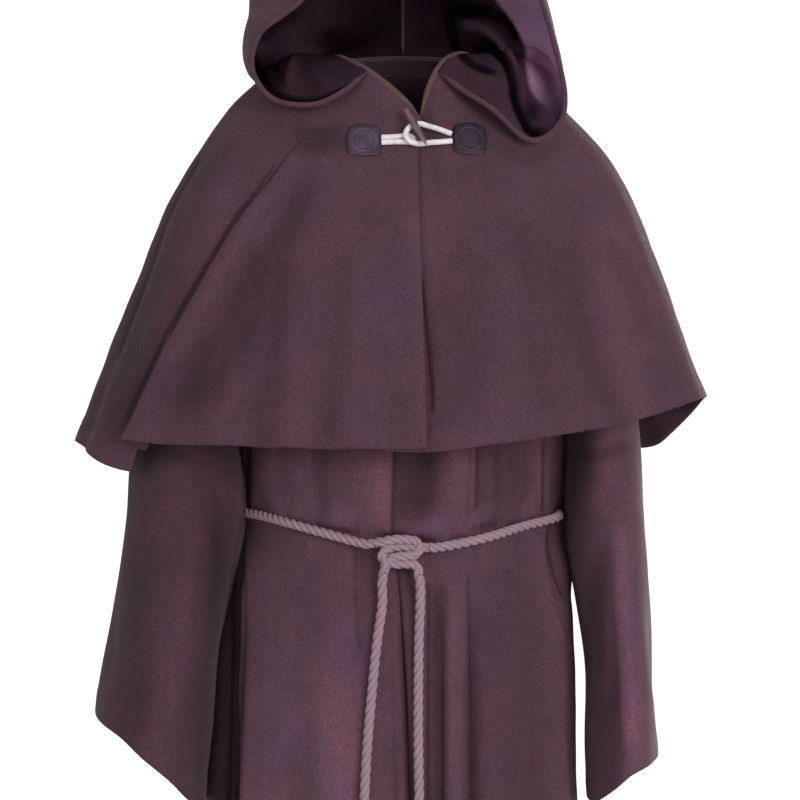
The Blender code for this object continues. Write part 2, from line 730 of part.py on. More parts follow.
KnotStop = namedtuple("KnotStop", "side out rise")
KNOT_FROM_RIGHT = [
    KnotStop(-0.0265, -0.003, 0.0085),
    KnotStop(-0.0180, 0.001, 0.0100),
    KnotStop(-0.0080, 0.003, 0.0120),
    KnotStop(0.0040, 0.002, 0.0120),
    KnotStop(0.0145, 0.000, 0.0100),
    KnotStop(0.0190, 0.000, 0.0040),
    KnotStop(0.0145, 0.001, -0.0030),
    KnotStop(0.0030, 0.003, -0.0045),
    KnotStop(-0.0080, 0.002, -0.0060),
    KnotStop(-0.0150, 0.001, -0.0120),
    KnotStop(-0.0172, 0.000, -0.0210),
]
KNOT_FROM_LEFT = [
    KnotStop(0.0265, -0.007, 0.0035),
    KnotStop(0.0180, -0.003, 0.0040),
    KnotStop(0.0070, -0.002, 0.0045),
    KnotStop(-0.0050, -0.001, 0.0045),
    KnotStop(-0.0150, 0.000, 0.0020),
    KnotStop(-0.0190, 0.001, -0.0045),
    KnotStop(-0.0140, 0.001, -0.0110),
    KnotStop(-0.0030, 0.001, -0.0125),
    KnotStop(0.0080, 0.001, -0.0125),
    KnotStop(0.0160, 0.000, -0.0150),
    KnotStop(0.0180, 0.000, -0.0235),
]


def knot_route(stops):
    return [KNOT_CENTRE + Vector((stop.side, -stop.out, stop.rise)) for stop in stops]


def past_knot(stops):
    """The first two points of a rope that goes on from the start of a strand of the knot."""
    end, inner = even_points(knot_route(stops), KNOT_STEPS)[:2]
    onward = (end - inner).normalized()
    return [end + onward * KNOT_GAP, end + onward * ROPE_DIAMETER]


def waist_route():
    """From the knot round the wearer's right side and the back to the knot again."""
    angles = [-24 - i * 20 for i in range(16)] + [-336]
    around = [rope_point(angle) for angle in angles]
    return past_knot(KNOT_FROM_RIGHT) + around + past_knot(KNOT_FROM_LEFT)[::-1]


TailStop = namedtuple("TailStop", "side drop")
RIGHT_TAIL = [
    TailStop(-0.0200, 0.570),
    TailStop(-0.0250, 0.610),
    TailStop(-0.0300, 0.665),
    TailStop(-0.0350, 0.730),
    TailStop(-0.0370, 0.800),
    TailStop(-0.0370, 0.900),
    TailStop(-0.0340, 1.000),
    TailStop(-0.0330, TAIL_END_DROP),
]
LEFT_TAIL = [
    TailStop(0.0175, 0.572),
    TailStop(0.0161, 0.610),
    TailStop(0.0155, 0.700),
    TailStop(0.0171, 0.800),
    TailStop(0.0200, 0.900),
    TailStop(0.0235, 1.000),
    TailStop(0.0245, TAIL_END_DROP),
]


def skirt_forward(side, drop):
    """How far forward the skirt's folds reach at a place."""
    section = read_table(ROBE_SECTIONS, "drop", drop)
    angle = math.degrees(math.asin((side - section.centre) / section.half_width))
    return max(-robe_point(angle + turn, drop)[0].y for turn in (-4, -2, 0, 2, 4))


def tail_route(stops, strand):
    """A tail hanging from the knot, in front of the skirt, with room for the knot at its end."""
    route = past_knot(strand[::-1])
    start = route[-1]
    for stop in stops:
        near_end = ease((stop.drop - 0.86) / 0.18)
        room = mix(ROPE_DIAMETER / 2, ROPE_END_RADIUS, near_end)
        reach = skirt_forward(stop.side, stop.drop + ROPE_END_LENGTH * near_end)
        hang = max(reach + CLOTH + TAIL_CLEARANCE + room, -start.y)
        y = mix(start.y, -hang, ease((stop.drop + start.z) / 0.10))
        route.append(Vector((stop.side, y, -stop.drop)))
    return route


# Makers of objects


def material(name, colour, roughness, metallic=0.0):
    made = bpy.data.materials.new(name)
    made.use_nodes = True
    shader = made.node_tree.nodes["Principled BSDF"]
    shader.inputs["Base Color"].default_value = (*colour, 1)
    shader.inputs["Roughness"].default_value = roughness
    shader.inputs["Metallic"].default_value = metallic
    return made


def add_object(name, data, collection, finish):
    made = bpy.data.objects.new(name, data)
    collection.objects.link(made)
    data.materials.append(finish)
    return made


def pull_in(rows, edges):
    """Draw the named edges of a panel back from their seams."""
    moves = []
    if "first" in edges:
        moves += [(row, 0, 1) for row in rows]
    if "last" in edges:
        moves += [(row, -1, -2) for row in rows]
    for row, edge, inner in moves:
        row[edge] = drawn_back([row[edge]], [row[inner]], SEAM_PULL)[0]
    if "top" in edges:
        rows[0] = drawn_back(rows[0], rows[1], SEAM_PULL)


def cloth(name, rows, collection, finish, flip=False, ring=False, edges="", thickness=CLOTH):
    """A panel of cloth through rows of points, its wall on the outer side."""
    pull_in(rows, edges)
    mesh = bpy.data.meshes.new(name)
    model = bmesh.new()
    grid = [[model.verts.new(point) for point in row] for row in rows]
    width = len(grid[0])
    for upper, lower in zip(grid, grid[1:]):
        for i in range(width if ring else width - 1):
            k = (i + 1) % width
            corners = [upper[i], lower[i], lower[k], upper[k]]
            model.faces.new(corners[::-1] if flip else corners)
    model.to_mesh(mesh)
    model.free()
    mesh.shade_smooth()
    made = add_object(name, mesh, collection, finish)
    wall = made.modifiers.new("Wall", "SOLIDIFY")
    wall.thickness = thickness
    wall.offset = 1
    return made


def even_points(route, count):
    """Points at even steps along a smooth curve through a route."""
    places = [0.0]
    for a, b in zip(route, route[1:]):
        places.append(places[-1] + (b - a).length)
    return [curve_through(places, route, places[-1] * i / count) for i in range(count + 1)]


def tube(name, route, count, diameter, collection, finish, sides=2):
    """A round cord along a smooth route."""
    curve = bpy.data.curves.new(name, "CURVE")
    curve.dimensions = "3D"
    curve.bevel_depth = diameter / 2
    curve.bevel_resolution = sides
    curve.use_fill_caps = True
    line = curve.splines.new("POLY")
    points = even_points(route, count)
    line.points.add(len(points) - 1)
    for spot, point in zip(line.points, points):
        spot.co = (*point, 1)
    return add_object(name, curve, collection, finish)


def as_mesh(curve_object, collection, finish):
    """The same tube as a closed mesh."""
    bpy.context.view_layer.update()
    graph = bpy.context.evaluated_depsgraph_get()
    mesh = bpy.data.meshes.new_from_object(curve_object.evaluated_get(graph))
    model = bmesh.new()
    model.from_mesh(mesh)
    bmesh.ops.remove_doubles(model, verts=model.verts, dist=0.00001)
    model.to_mesh(mesh)
    model.free()
    name = curve_object.name
    place = curve_object.matrix_world.copy()
    bpy.data.objects.remove(curve_object)
    mesh.materials.clear()
    made = add_object(name, mesh, collection, finish)
    made.matrix_world = place
    return made


def turned(name, profile, length, collection, finish):
    """A turned piece along Z, its top end at the origin."""
    mesh = bpy.data.meshes.new(name)
    points = [(ring.radius, 0, -ring.share * length) for ring in profile]
    mesh.from_pydata(points, [(i, i + 1) for i in range(len(points) - 1)], [])
    made = add_object(name, mesh, collection, finish)
    screw = made.modifiers.new("Turn", "SCREW")
    screw.steps = TURNED_STEPS
    screw.render_steps = TURNED_STEPS
    screw.use_merge_vertices = True
    screw.merge_threshold = 0.00005
    screw.use_smooth_shade = True
    return made


def make_robe(parts, wool):
    for end, front in (("front", True), ("back", False)):
        bodice, skirt = robe_rows(front)
        cloth("bodice_" + end, bodice, parts, wool, edges="first last top")
        cloth("skirt_" + end, skirt, parts, wool, edges="first last")
    cloth("sleeve_right", sleeve_rows(RIGHT_SLEEVE, -1, RIGHT_SLEEVE_LEAN), parts, wool, ring=True)
    cloth("sleeve_left", sleeve_rows(LEFT_SLEEVE, 1, LEFT_SLEEVE_LEAN), parts, wool, ring=True)


def make_cape(parts, wool):
    cloth("cape_front_right", cape_front_right_rows(), parts, wool, edges="first")
    cloth("cape_front_left", cape_front_left_rows(), parts, wool, edges="last")
    cloth("cape_back", cape_back_rows(), parts, wool, edges="first last")
    cloth("hood_right", hood_rows(RIGHT_HOOD, -1), parts, wool, flip=True, edges="last top")
    cloth("hood_left", hood_rows(LEFT_HOOD, 1), parts, wool, edges="last top")


def make_toggle(parts, leather, braid, horn):
    cloth("toggle_patch_right", patch_rows(*RIGHT_PATCH_CENTRE), parts, leather, thickness=LEATHER)
    cloth("toggle_patch_left", patch_rows(*LEFT_PATCH_CENTRE), parts, leather, thickness=LEATHER)
    for name, stops, count in (("toggle_cord", TOGGLE_CORD, 20), ("loop_cord", LOOP_CORD, 28)):
        route = [cape_surface(*stop) for stop in stops]
        tube(name, route, count, CORD_DIAMETER, parts, braid)
    toggle = turned("toggle", TOGGLE_PROFILE, TOGGLE_LENGTH, parts, horn)
    top = cape_surface(*TOGGLE_TOP)
    along = cape_surface(*TOGGLE_TIP) - top
    toggle.location = top
    toggle.rotation_euler = along.to_track_quat("-Z", "Y").to_euler()


def make_belt(parts, cutters, rope):
    tube("belt_waist", waist_route(), WAIST_STEPS, ROPE_DIAMETER, parts, rope)
    strands = []
    for name, stops, home in (
        ("belt_knot", KNOT_FROM_RIGHT, parts),
        ("belt_knot_left_strand", KNOT_FROM_LEFT, cutters),
    ):
        strand = tube(name, knot_route(stops), KNOT_STEPS, ROPE_DIAMETER, home, rope)
        strands.append(as_mesh(strand, home, rope))
    knot, other = strands
    other.hide_render = True
    other.display_type = "WIRE"
    union = knot.modifiers.new("Strands", "BOOLEAN")
    union.operation = "UNION"
    union.object = other
    for side, stops, strand in (
        ("right", RIGHT_TAIL, KNOT_FROM_RIGHT),
        ("left", LEFT_TAIL, KNOT_FROM_LEFT),
    ):
        route = tail_route(stops, strand)
        tube("belt_tail_" + side, route, TAIL_STEPS, ROPE_DIAMETER, parts, rope)
        end = turned("belt_end_" + side, ROPE_END_PROFILE, ROPE_END_LENGTH, parts, rope)
        end.location = route[-1] - Vector((0, 0, SEAM_GAP))


def main():
    for old in list(bpy.data.objects):
        bpy.data.objects.remove(old)
    parts = bpy.data.collections.new("monk_robe")
    cutters = bpy.data.collections.new("cutters")
    bpy.context.scene.collection.children.link(parts)
    bpy.context.scene.collection.children.link(cutters)
    wool = material("wool", (0.089, 0.043, 0.060), 0.95)
    rope = material("rope", (0.19, 0.12, 0.15), 0.85)
    leather = material("leather", (0.045, 0.025, 0.055), 0.55)
    braid = material("braid", (0.80, 0.74, 0.76), 0.80)
    horn = material("horn", (0.18, 0.11, 0.10), 0.40)
    make_robe(parts, wool)
    make_cape(parts, wool)
    make_toggle(parts, leather, braid, horn)
    make_belt(parts, cutters, rope)


main()
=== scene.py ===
"""Looks of the hooded monk robe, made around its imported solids.

Metres, +Z up. The front faces -Y. Left and right are the wearer's, so the left side is at +X. A drop
is a distance down from the centre of the neck opening, and an angle is in degrees round the body
from the centre front, positive towards the wearer's left.
"""

import math
from collections import namedtuple

import bmesh
import bpy
import numpy as np
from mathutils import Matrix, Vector
from mathutils.bvhtree import BVHTree


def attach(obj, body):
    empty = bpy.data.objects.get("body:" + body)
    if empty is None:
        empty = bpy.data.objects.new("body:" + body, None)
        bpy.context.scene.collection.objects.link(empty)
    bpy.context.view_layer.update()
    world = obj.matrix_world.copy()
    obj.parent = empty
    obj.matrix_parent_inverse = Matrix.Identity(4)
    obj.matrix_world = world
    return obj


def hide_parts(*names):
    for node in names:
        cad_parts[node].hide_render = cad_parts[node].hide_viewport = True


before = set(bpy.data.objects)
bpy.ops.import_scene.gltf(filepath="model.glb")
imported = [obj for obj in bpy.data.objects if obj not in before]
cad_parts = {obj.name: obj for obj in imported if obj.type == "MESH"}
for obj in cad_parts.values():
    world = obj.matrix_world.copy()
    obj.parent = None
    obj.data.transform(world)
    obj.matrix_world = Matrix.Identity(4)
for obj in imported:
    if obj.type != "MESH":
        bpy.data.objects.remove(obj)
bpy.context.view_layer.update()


def rows_of(kind, values):
    """The rows of a table, each of one kind."""
    return [kind(*value) for value in values]


# Cloth, leather and seams
CLOTH = 0.002
LEATHER = 0.0018
SEAM_GAP = 0.0003

# Robe
CHEST_DROP = 0.300
HEM_DROP = 1.420
NECK_ANGLE = 38
BACK_START = 90.001
BACK_END = 269.999
ROBE_NECK_WIDTH = 0.080
ROBE_NECK_DROP = 0.014
ROBE_NECK_FRONT = Vector((0.0, -0.084, -0.094))
ROBE_NECK_BACK = Vector((0.0, 0.066, -0.006))
SHOULDER_TIP = Vector((0.196, 0.0, -0.098))
SHOULDER_ARCH = 0.0352
ARMHOLE_DEPTH = 0.066
SLEEVE_GAP_TOP = 0.0012
SLEEVE_GAP_UNDER = 0.0042

# Belt
BELT_FRONT_DROP = 0.512
BELT_SIDE_DROP = 0.492
BELT_BACK_DROP = 0.478
BELT_RIGHT_SAG = 2.4
BELT_LEFT_SAG = 1.2
BELT_LEVEL = 0.500
BELT_SWAY_REACH = 0.09
BELT_PRESS = 0.9
BELT_PRESS_REACH = 0.020
ROPE_DIAMETER = 0.010
ROPE_CLEARANCE = 0.0019
ROPE_SINK = 0.0008
ROPE_MOST_RISE = 0.0200
KNOT_GAP = 0.0008
KNOT_CENTRE = Vector((-0.002, -0.1545, -0.518))
TAIL_END_DROP = 1.040
TAIL_END_REACH = 0.18
ROPE_END_LENGTH = 0.060
ROPE_END_RADIUS = 0.0112

# How near the skirt's cloth has to be to hold a tail
SKIRT_BESIDE = 0.008
SKIRT_ABOVE = 0.014

# Cape and hood
NECK_VEE_ANGLE = 14.5
NECK_VEE_DROP = 0.072
CAPE_EDGE_NECK_ANGLE = 14.5
CAPE_EDGE_HEM_ANGLE = 4.2
CAPE_UNDERLAP_ANGLE = -3.0
CAPE_UNDERLAP_DEPTH = 0.0046
CAPE_EDGE_GAPE = 0.0062
CAPE_EDGE_LIFT = 0.0030
HOOD_START_ANGLE = 29
HOOD_MIDDLE = np.array((0.0, 0.0, 0.10))

# Toggle
CORD_DIAMETER = 0.005
PATCH_SIZE = 0.034
PATCH_LIFT = 0.0012
PATCH_ROUNDING = 0.30
RIGHT_PATCH_CENTRE = (-0.040, 0.0985)
LEFT_PATCH_CENTRE = (0.068, 0.0965)
CORD_STAND = 0.0004
TOGGLE_STAND = 0.0031
TOGGLE_LENGTH = 0.049

# The robe's outline at each level, without its folds
RobeSection = namedtuple("RobeSection", "drop centre half_width front back")
ROBE_SECTIONS = rows_of(RobeSection, [
    (0.3, -0.003, 0.176, 0.134, 0.112), (0.38, -0.004, 0.164, 0.137, 0.114), (0.45, -0.004, 0.16, 0.143, 0.119),
    (0.5, -0.007, 0.152, 0.133, 0.11), (0.56, -0.005, 0.173, 0.141, 0.123), (0.65, -0.009, 0.184, 0.149, 0.137),
    (0.8, -0.012, 0.193, 0.162, 0.156), (1, -0.008, 0.216, 0.186, 0.188), (1.2, -0.004, 0.254, 0.216, 0.22),
    (1.42, 0, 0.298, 0.25, 0.254),
])

# The robe's large folds, each from its top to its bottom. A depth is outwards, so a trough's is negative.
RobeFold = namedtuple("RobeFold", "top_angle top_drop bottom_angle bottom_drop width depth hem_depth")
ROBE_FOLDS = rows_of(RobeFold, [
    (5, 0.34, 5, 0.5, 8, -0.01, -0.01), (18, 0.34, 19, 0.5, 4.5, 0.006, 0.006),
    (25, 0.36, 26, 0.5, 3.5, -0.005, -0.005), (54, 0.34, 57, 0.5, 5, -0.005, -0.005),
    (-32, 0.36, -31, 0.5, 6, -0.004, -0.004), (-2, 0.53, 6, 1.42, 3.6, -0.008, -0.022),
    (11, 0.53, 12, 0.9, 3, -0.006, -0.006), (17, 0.52, 17.5, 1.1, 3.6, 0.005, 0.006),
    (24, 0.52, 25, 1.42, 4.5, -0.007, -0.02), (52, 0.62, 50, 1.42, 7, -0.002, -0.018),
    (-30, 0.62, -26, 1.42, 7, -0.002, -0.02), (-62, 0.54, -60, 1.42, 6, -0.008, -0.018),
    (76, 0.56, 78, 1.42, 6, -0.003, -0.012), (108, 0.56, 106, 1.42, 8, -0.004, -0.018),
    (134, 0.54, 132, 1.42, 8, -0.005, -0.02), (160, 0.54, 158, 1.42, 8, -0.005, -0.02),
    (186, 0.54, 187, 1.42, 8, -0.005, -0.02), (212, 0.54, 214, 1.42, 8, -0.005, -0.02),
    (240, 0.54, 243, 1.42, 8, -0.005, -0.018),
])

# The sleeves: the outer line lies on top of the arm and the inner line under it, both from the middle.
# Towards the cuff the inner line leans forward, and the cuff arches up at its front and back.
CUFF_ARCH = 0.019
RIGHT_SLEEVE_LEAN = 0.050
LEFT_SLEEVE_LEAN = 0.020
SleeveSection = namedtuple("SleeveSection", "outer_side outer_drop inner_side inner_drop half_depth")
RIGHT_SLEEVE = rows_of(SleeveSection, [
    (0.214, 0.13, 0.185, 0.322, 0.078), (0.234, 0.186, 0.184, 0.358, 0.082),
    (0.255, 0.258, 0.181, 0.404, 0.087), (0.276, 0.35, 0.178, 0.456, 0.092), (0.291, 0.44, 0.179, 0.508, 0.096),
    (0.301, 0.527, 0.188, 0.575, 0.102), (0.311, 0.602, 0.197, 0.65, 0.109),
    (0.322, 0.664, 0.207, 0.736, 0.116), (0.327, 0.696, 0.212, 0.79, 0.12),
])
LEFT_SLEEVE = rows_of(SleeveSection, [
    (0.211, 0.13, 0.18, 0.322, 0.078), (0.224, 0.19, 0.176, 0.358, 0.082), (0.236, 0.264, 0.171, 0.404, 0.086),
    (0.247, 0.35, 0.168, 0.456, 0.09), (0.255, 0.44, 0.172, 0.508, 0.094), (0.26, 0.53, 0.184, 0.575, 0.099),
    (0.264, 0.61, 0.191, 0.65, 0.106), (0.268, 0.69, 0.197, 0.74, 0.112), (0.271, 0.742, 0.201, 0.792, 0.116),
])

# The cape's outline without its folds. The share runs from the neckline, 0, to the hem, 1.
CapeSection = namedtuple("CapeSection", "share right right_drop left left_drop front front_drop back back_drop")
CAPE_SECTIONS = rows_of(CapeSection, [
    (0, 0.072, 0, 0.072, 0, 0.085, 0.072, 0.07, -0.012),
    (0.12, 0.11, 0.004, 0.11, 0.004, 0.1, 0.09, 0.088, 0.002),
    (0.24, 0.15, 0.018, 0.148, 0.024, 0.115, 0.12, 0.108, 0.035),
    (0.34, 0.184, 0.05, 0.18, 0.06, 0.13, 0.15, 0.126, 0.075),
    (0.44, 0.216, 0.095, 0.214, 0.097, 0.143, 0.185, 0.142, 0.125),
    (0.56, 0.248, 0.149, 0.246, 0.149, 0.156, 0.225, 0.158, 0.18),
    (0.7, 0.284, 0.235, 0.274, 0.222, 0.171, 0.285, 0.175, 0.262),
    (0.85, 0.319, 0.322, 0.299, 0.293, 0.187, 0.35, 0.19, 0.345),
    (1, 0.351, 0.408, 0.325, 0.36, 0.2, 0.414, 0.203, 0.43),
])

# The cape's large folds, from the neckline to the hem
CapeFold = namedtuple("CapeFold", "neck_angle hem_angle width depth hem_depth")
CAPE_FOLDS = rows_of(CapeFold, [
    (-30, -45, 7, -0.001, -0.008), (-20, -26, 9, 0.001, 0.004), (-74, -77, 5, -0.002, -0.006),
    (24, 28, 10, 0.001, 0.005), (46, 50, 8, -0.001, -0.007), (66, 68, 7, 0.001, 0.005),
    (112, 112, 9, -0.002, -0.012), (142, 140, 9, -0.002, -0.012), (172, 168, 9, -0.002, -0.012),
    (198, 200, 9, -0.002, -0.012), (226, 232, 9, -0.002, -0.012), (129, 124, 4, 0, -0.005),
    (156, 151, 4.6, -0.001, -0.007), (187, 191, 4.2, -0.001, -0.006), (213, 219, 4.8, 0, -0.007),
])

# Where the cape's hem hangs lower
HemDip = namedtuple("HemDip", "angle width drop")
BACK_DIP = HemDip(118.0, 18.0, 0.039)
SIDE_DIP = HemDip(-56.0, 17.0, 0.0255)
SIDE_DIP_START = 2.0

# The cape's long fold: a step of the right front over the side, which deepens towards the hem
STEP_RISE = 0.013
STEP_FALL = 0.012
STEP_RISE_WIDTH = 16.0
STEP_FALL_WIDTH = 9.0
STEP_EDGE = 1.4

# The hood's two halves share the seam over the crown and down the back. The share runs from the
# neckline, 0, to the front of the crown, 1, and each half has a row for each of the seam's rows.
HoodSeam = namedtuple("HoodSeam", "share back back_drop")
HOOD_SEAM = rows_of(HoodSeam, [
    (0, 0.07, -0.012), (0.08, 0.083, -0.026), (0.15, 0.096, -0.04), (0.22, 0.112, -0.057), (0.3, 0.128, -0.078),
    (0.38, 0.141, -0.102), (0.46, 0.149, -0.127), (0.54, 0.151, -0.154), (0.63, 0.146, -0.184),
    (0.72, 0.134, -0.213), (0.81, 0.116, -0.24), (0.89, 0.096, -0.262), (0.95, 0.075, -0.278),
    (1, 0.052, -0.288),
])

# Each row runs from the rim of the hood, round its widest place, to the seam.
HoodRow = namedtuple("HoodRow", "rim_side rim_forward rim_drop widest side_drop")
RIGHT_HOOD = rows_of(HoodRow, [
    (0.04, 0.071, 0.022, 0.074, 0), (0.066, 0.091, 0.046, 0.1, -0.008), (0.096, 0.102, 0.059, 0.128, -0.008),
    (0.134, 0.099, 0.052, 0.158, 0.009), (0.155, 0.096, 0.021, 0.167, -0.008),
    (0.147, 0.098, -0.014, 0.165, -0.04), (0.123, 0.101, -0.033, 0.163, -0.069),
    (0.103, 0.103, -0.05, 0.161, -0.098), (0.087, 0.107, -0.085, 0.154, -0.136),
    (0.079, 0.11, -0.13, 0.141, -0.177), (0.068, 0.112, -0.18, 0.117, -0.22),
    (0.05, 0.11, -0.218, 0.086, -0.257), (0.03, 0.107, -0.24, 0.053, -0.28), (0, 0.104, -0.254, 0, -0.296),
])
LEFT_HOOD = rows_of(HoodRow, [
    (0.04, 0.071, 0.022, 0.074, 0), (0.064, 0.093, 0.044, 0.1, -0.011), (0.092, 0.107, 0.064, 0.128, -0.01),
    (0.13, 0.107, 0.096, 0.154, 0), (0.16, 0.099, 0.08, 0.166, -0.01), (0.167, 0.092, 0.047, 0.167, -0.028),
    (0.156, 0.092, -0.004, 0.158, -0.052), (0.144, 0.098, -0.043, 0.147, -0.082),
    (0.132, 0.104, -0.08, 0.143, -0.125), (0.113, 0.108, -0.125, 0.132, -0.17),
    (0.091, 0.111, -0.172, 0.114, -0.216), (0.065, 0.11, -0.212, 0.085, -0.254),
    (0.038, 0.107, -0.238, 0.053, -0.279), (0, 0.104, -0.254, 0, -0.296),
])

# Folds of the robe's front, each from its top to its bottom, with its width on either side and its depth
# at either end. Its line may bow to a side. A fold with an edge steps sharply from one side to the other.
FrontFold = namedtuple(
    "FrontFold",
    "top_side top_drop bottom_side bottom_drop right left depth end_depth bow edge",
    defaults=(0, 0),
)
BODICE_FOLDS = rows_of(FrontFold, [
    (-0.0115, 0.37, -0.011, 0.516, 0.022, 0.022, -0.0068, -0.005, 0, 0.001),
    (0.0735, 0.37, 0.074, 0.506, 0.012, 0.022, -0.0056, -0.004, 0, 0.001),
    (0.145, 0.37, 0.1445, 0.502, 0.014, 0.016, -0.006, -0.0044, 0, 0.0011),
    (-0.09, 0.37, -0.088, 0.5, 0.004, 0.01, -0.003, -0.0016),
    (0.095, 0.39, 0.095, 0.5, 0.006, 0.008, -0.0024, -0.0014),
    (0.02, 0.37, 0.018, 0.505, 0.01, 0.014, -0.004, -0.0026),
    (-0.04, 0.39, -0.036, 0.505, 0.014, 0.014, 0.0024, 0.0018),
    (-0.125, 0.39, -0.123, 0.49, 0.01, 0.014, -0.0022, -0.0026),
])
SKIRT_FOLDS = rows_of(FrontFold, [
    (-0.007, 0.51, 0.03, 1.47, 0.004, 0.0056, -0.009, -0.02, 0.002),
    (0.067, 0.5, 0.074, 1.47, 0.008, 0.01, -0.0056, -0.008, -0.001),
    (0.1405, 0.49, 0.169, 0.63, 0.012, 0.012, -0.0078, -0.004, -0.006, 0.0012),
    (-0.045, 0.49, -0.042, 0.66, 0.007, 0.007, -0.003, -0.001),
    (0.036, 0.52, 0.045, 1.47, 0.009, 0.007, -0.006, -0.01),
    (-0.164, 0.49, -0.176, 0.96, 0.014, 0.01, 0.0062, 0.008, 0.002, 0.0016),
    (-0.178, 0.5, -0.19, 0.96, 0.005, 0.005, -0.004, -0.005),
    (-0.1, 0.62, -0.125, 1.47, 0.03, 0.026, -0.002, -0.01),
    (0.115, 0.64, 0.15, 1.47, 0.022, 0.026, -0.001, -0.01),
    (-0.072, 0.9, -0.078, 1.47, 0.024, 0.02, 0.001, 0.008),
    (0.195, 0.8, 0.235, 1.47, 0.02, 0.016, -0.002, -0.012),
    (-0.195, 0.82, -0.233, 1.47, 0.016, 0.02, -0.002, -0.012),
])

# Where the robe is fuller at its sides and folded at its back: the place and width round the robe, then
# the drops between which it grows and fades, and its height, which is negative for a trough
Fullness = namedtuple("Fullness", "angle width top rise bottom fall height")
ROBE_FULLNESS = rows_of(Fullness, [
    (90, 16, 0.32, 0.09, 0.498, 0.016, 0.0215), (91, 16, 0.48, 0.016, 0.585, 0.06, 0.0205),
    (97, 12, 0.468, 0.018, 0.53, 0.024, 0.013), (90, 26, 0.53, 0.06, 1.3, 0.5, 0.0085),
    (-94, 15, 0.33, 0.08, 0.498, 0.016, 0.012), (-95, 17, 0.479, 0.016, 1.35, 0.4, 0.013),
    (112, 12, 0.56, 0.1, 1.35, 0.4, 0.006), (171, 4.2, 0.49, 0.05, 1.5, 0.3, -0.007),
    (178, 3.6, 0.5, 0.08, 1.45, 0.5, 0.0045), (149, 3.4, 0.52, 0.1, 1.18, 0.3, -0.0055),
    (126, 4.6, 0.49, 0.04, 1.5, 0.2, -0.007), (-142, 3.8, 0.49, 0.05, 1.4, 0.3, -0.006),
    (-156, 5.2, 0.6, 0.2, 1.6, 0.1, 0.0065), (-168, 3.2, 0.49, 0.04, 0.98, 0.25, -0.005),
    (-121, 5, 0.5, 0.08, 1.5, 0.2, -0.0065),
])

# How far the sleeves' inner sides fall towards the robe, and their hollows, by side
SLEEVE_INNER_DROP = 0.480
SLEEVE_INNER_REACH = 0.075
SLEEVE_INNER_FULLNESS = {-1: 0.0075, 1: 0.0030}
Hollow = namedtuple("Hollow", "drop reach depth")
SLEEVE_HOLLOWS = {-1: [], 1: [Hollow(0.645, 0.065, 0.0080), Hollow(0.455, 0.085, 0.0100)]}

# Where the bodice puffs out over the rope: its place round the robe, width and height
Puff = namedtuple("Puff", "angle width height")
PUFFS = rows_of(Puff, [
    (-23, 7, 0.0062), (-3, 6.5, 0.005), (12, 8, 0.007), (33, 5, 0.0062), (62, 5, 0.0058), (-50, 9, 0.004),
    (-78, 9, 0.005), (84, 8, 0.005), (108, 9, 0.0062), (133, 8, 0.0048), (156, 9, 0.0066), (181, 8, 0.005),
    (204, 9, 0.0064), (230, 9, 0.005), (254, 8, 0.0058),
])
PUFF_RISE = 0.017
PUFF_REACH = 0.013

# Soft creases of the cape's fronts
CAPE_FRONT_FOLDS = rows_of(FrontFold, [
    (-0.096, 0.13, -0.222, 0.4, 0.03, 0.022, -0.0034, -0.0058, 0.01),
    (-0.118, 0.215, -0.153, 0.47, 0.014, 0.015, -0.0016, -0.0052, 0.008),
    (-0.058, 0.21, -0.084, 0.47, 0.02, 0.02, -0.0004, -0.003),
    (-0.1, 0.24, -0.12, 0.47, 0.012, 0.012, 0.0008, 0.003),
    (-0.088, 0.075, -0.05, 0.125, 0.016, 0.014, -0.003, -0.0008, 0.006),
    (0.064, 0.19, 0.048, 0.4, 0.018, 0.022, -0.0014, -0.0024, 0.004),
    (0.118, 0.15, 0.148, 0.4, 0.022, 0.024, -0.0014, -0.003),
    (0.162, 0.17, 0.23, 0.43, 0.018, 0.02, -0.0012, -0.0044, -0.006),
    (0.09, 0.22, 0.098, 0.46, 0.02, 0.018, 0.0006, 0.0026),
    (0.19, 0.22, 0.262, 0.44, 0.016, 0.014, 0.0006, 0.0036),
    (-0.2, 0.13, -0.295, 0.38, 0.009, 0.012, 0.003, 0.0012, 0.004),
])

# Soft creases of the sleeves, front and back alike
SLEEVE_FOLDS = rows_of(FrontFold, [
    (-0.196, 0.44, -0.188, 0.8, 0.014, 0.01, -0.005, -0.007),
    (-0.235, 0.52, -0.242, 0.8, 0.02, 0.018, 0.001, 0.004),
    (-0.275, 0.42, -0.29, 0.76, 0.018, 0.02, -0.0014, -0.0034, 0.003),
    (-0.256, 0.38, -0.2, 0.47, 0.012, 0.014, -0.0024, -0.001, 0.004),
    (0.206, 0.5, 0.212, 0.8, 0.012, 0.012, -0.0034, -0.0046, 0.004),
    (0.232, 0.44, 0.248, 0.8, 0.012, 0.012, 0.0016, 0.004),
    (0.212, 0.35, 0.186, 0.47, 0.01, 0.012, -0.0026, -0.001, -0.004),
    (0.242, 0.4, 0.204, 0.56, 0.009, 0.012, -0.0018, -0.001, -0.004),
])

# Folds placed in a front view that is 800 steps wide and high: stops across and down, the half
# widths at the first and last stop, the depth in metres and how much darker the cloth is in its shade.
# A ridge has a negative depth, and cloth that catches the light a negative darkness.
DrapeLine = namedtuple("DrapeLine", "stops width end_width depth dark")
VIEW_SCALE = 2222.0
VIEW_MIDDLE = 400.0
VIEW_DISTANCE = 2.4
VIEW_SIDE = -0.003
VIEW_DROP = 0.365
LINE_STEPS = 25
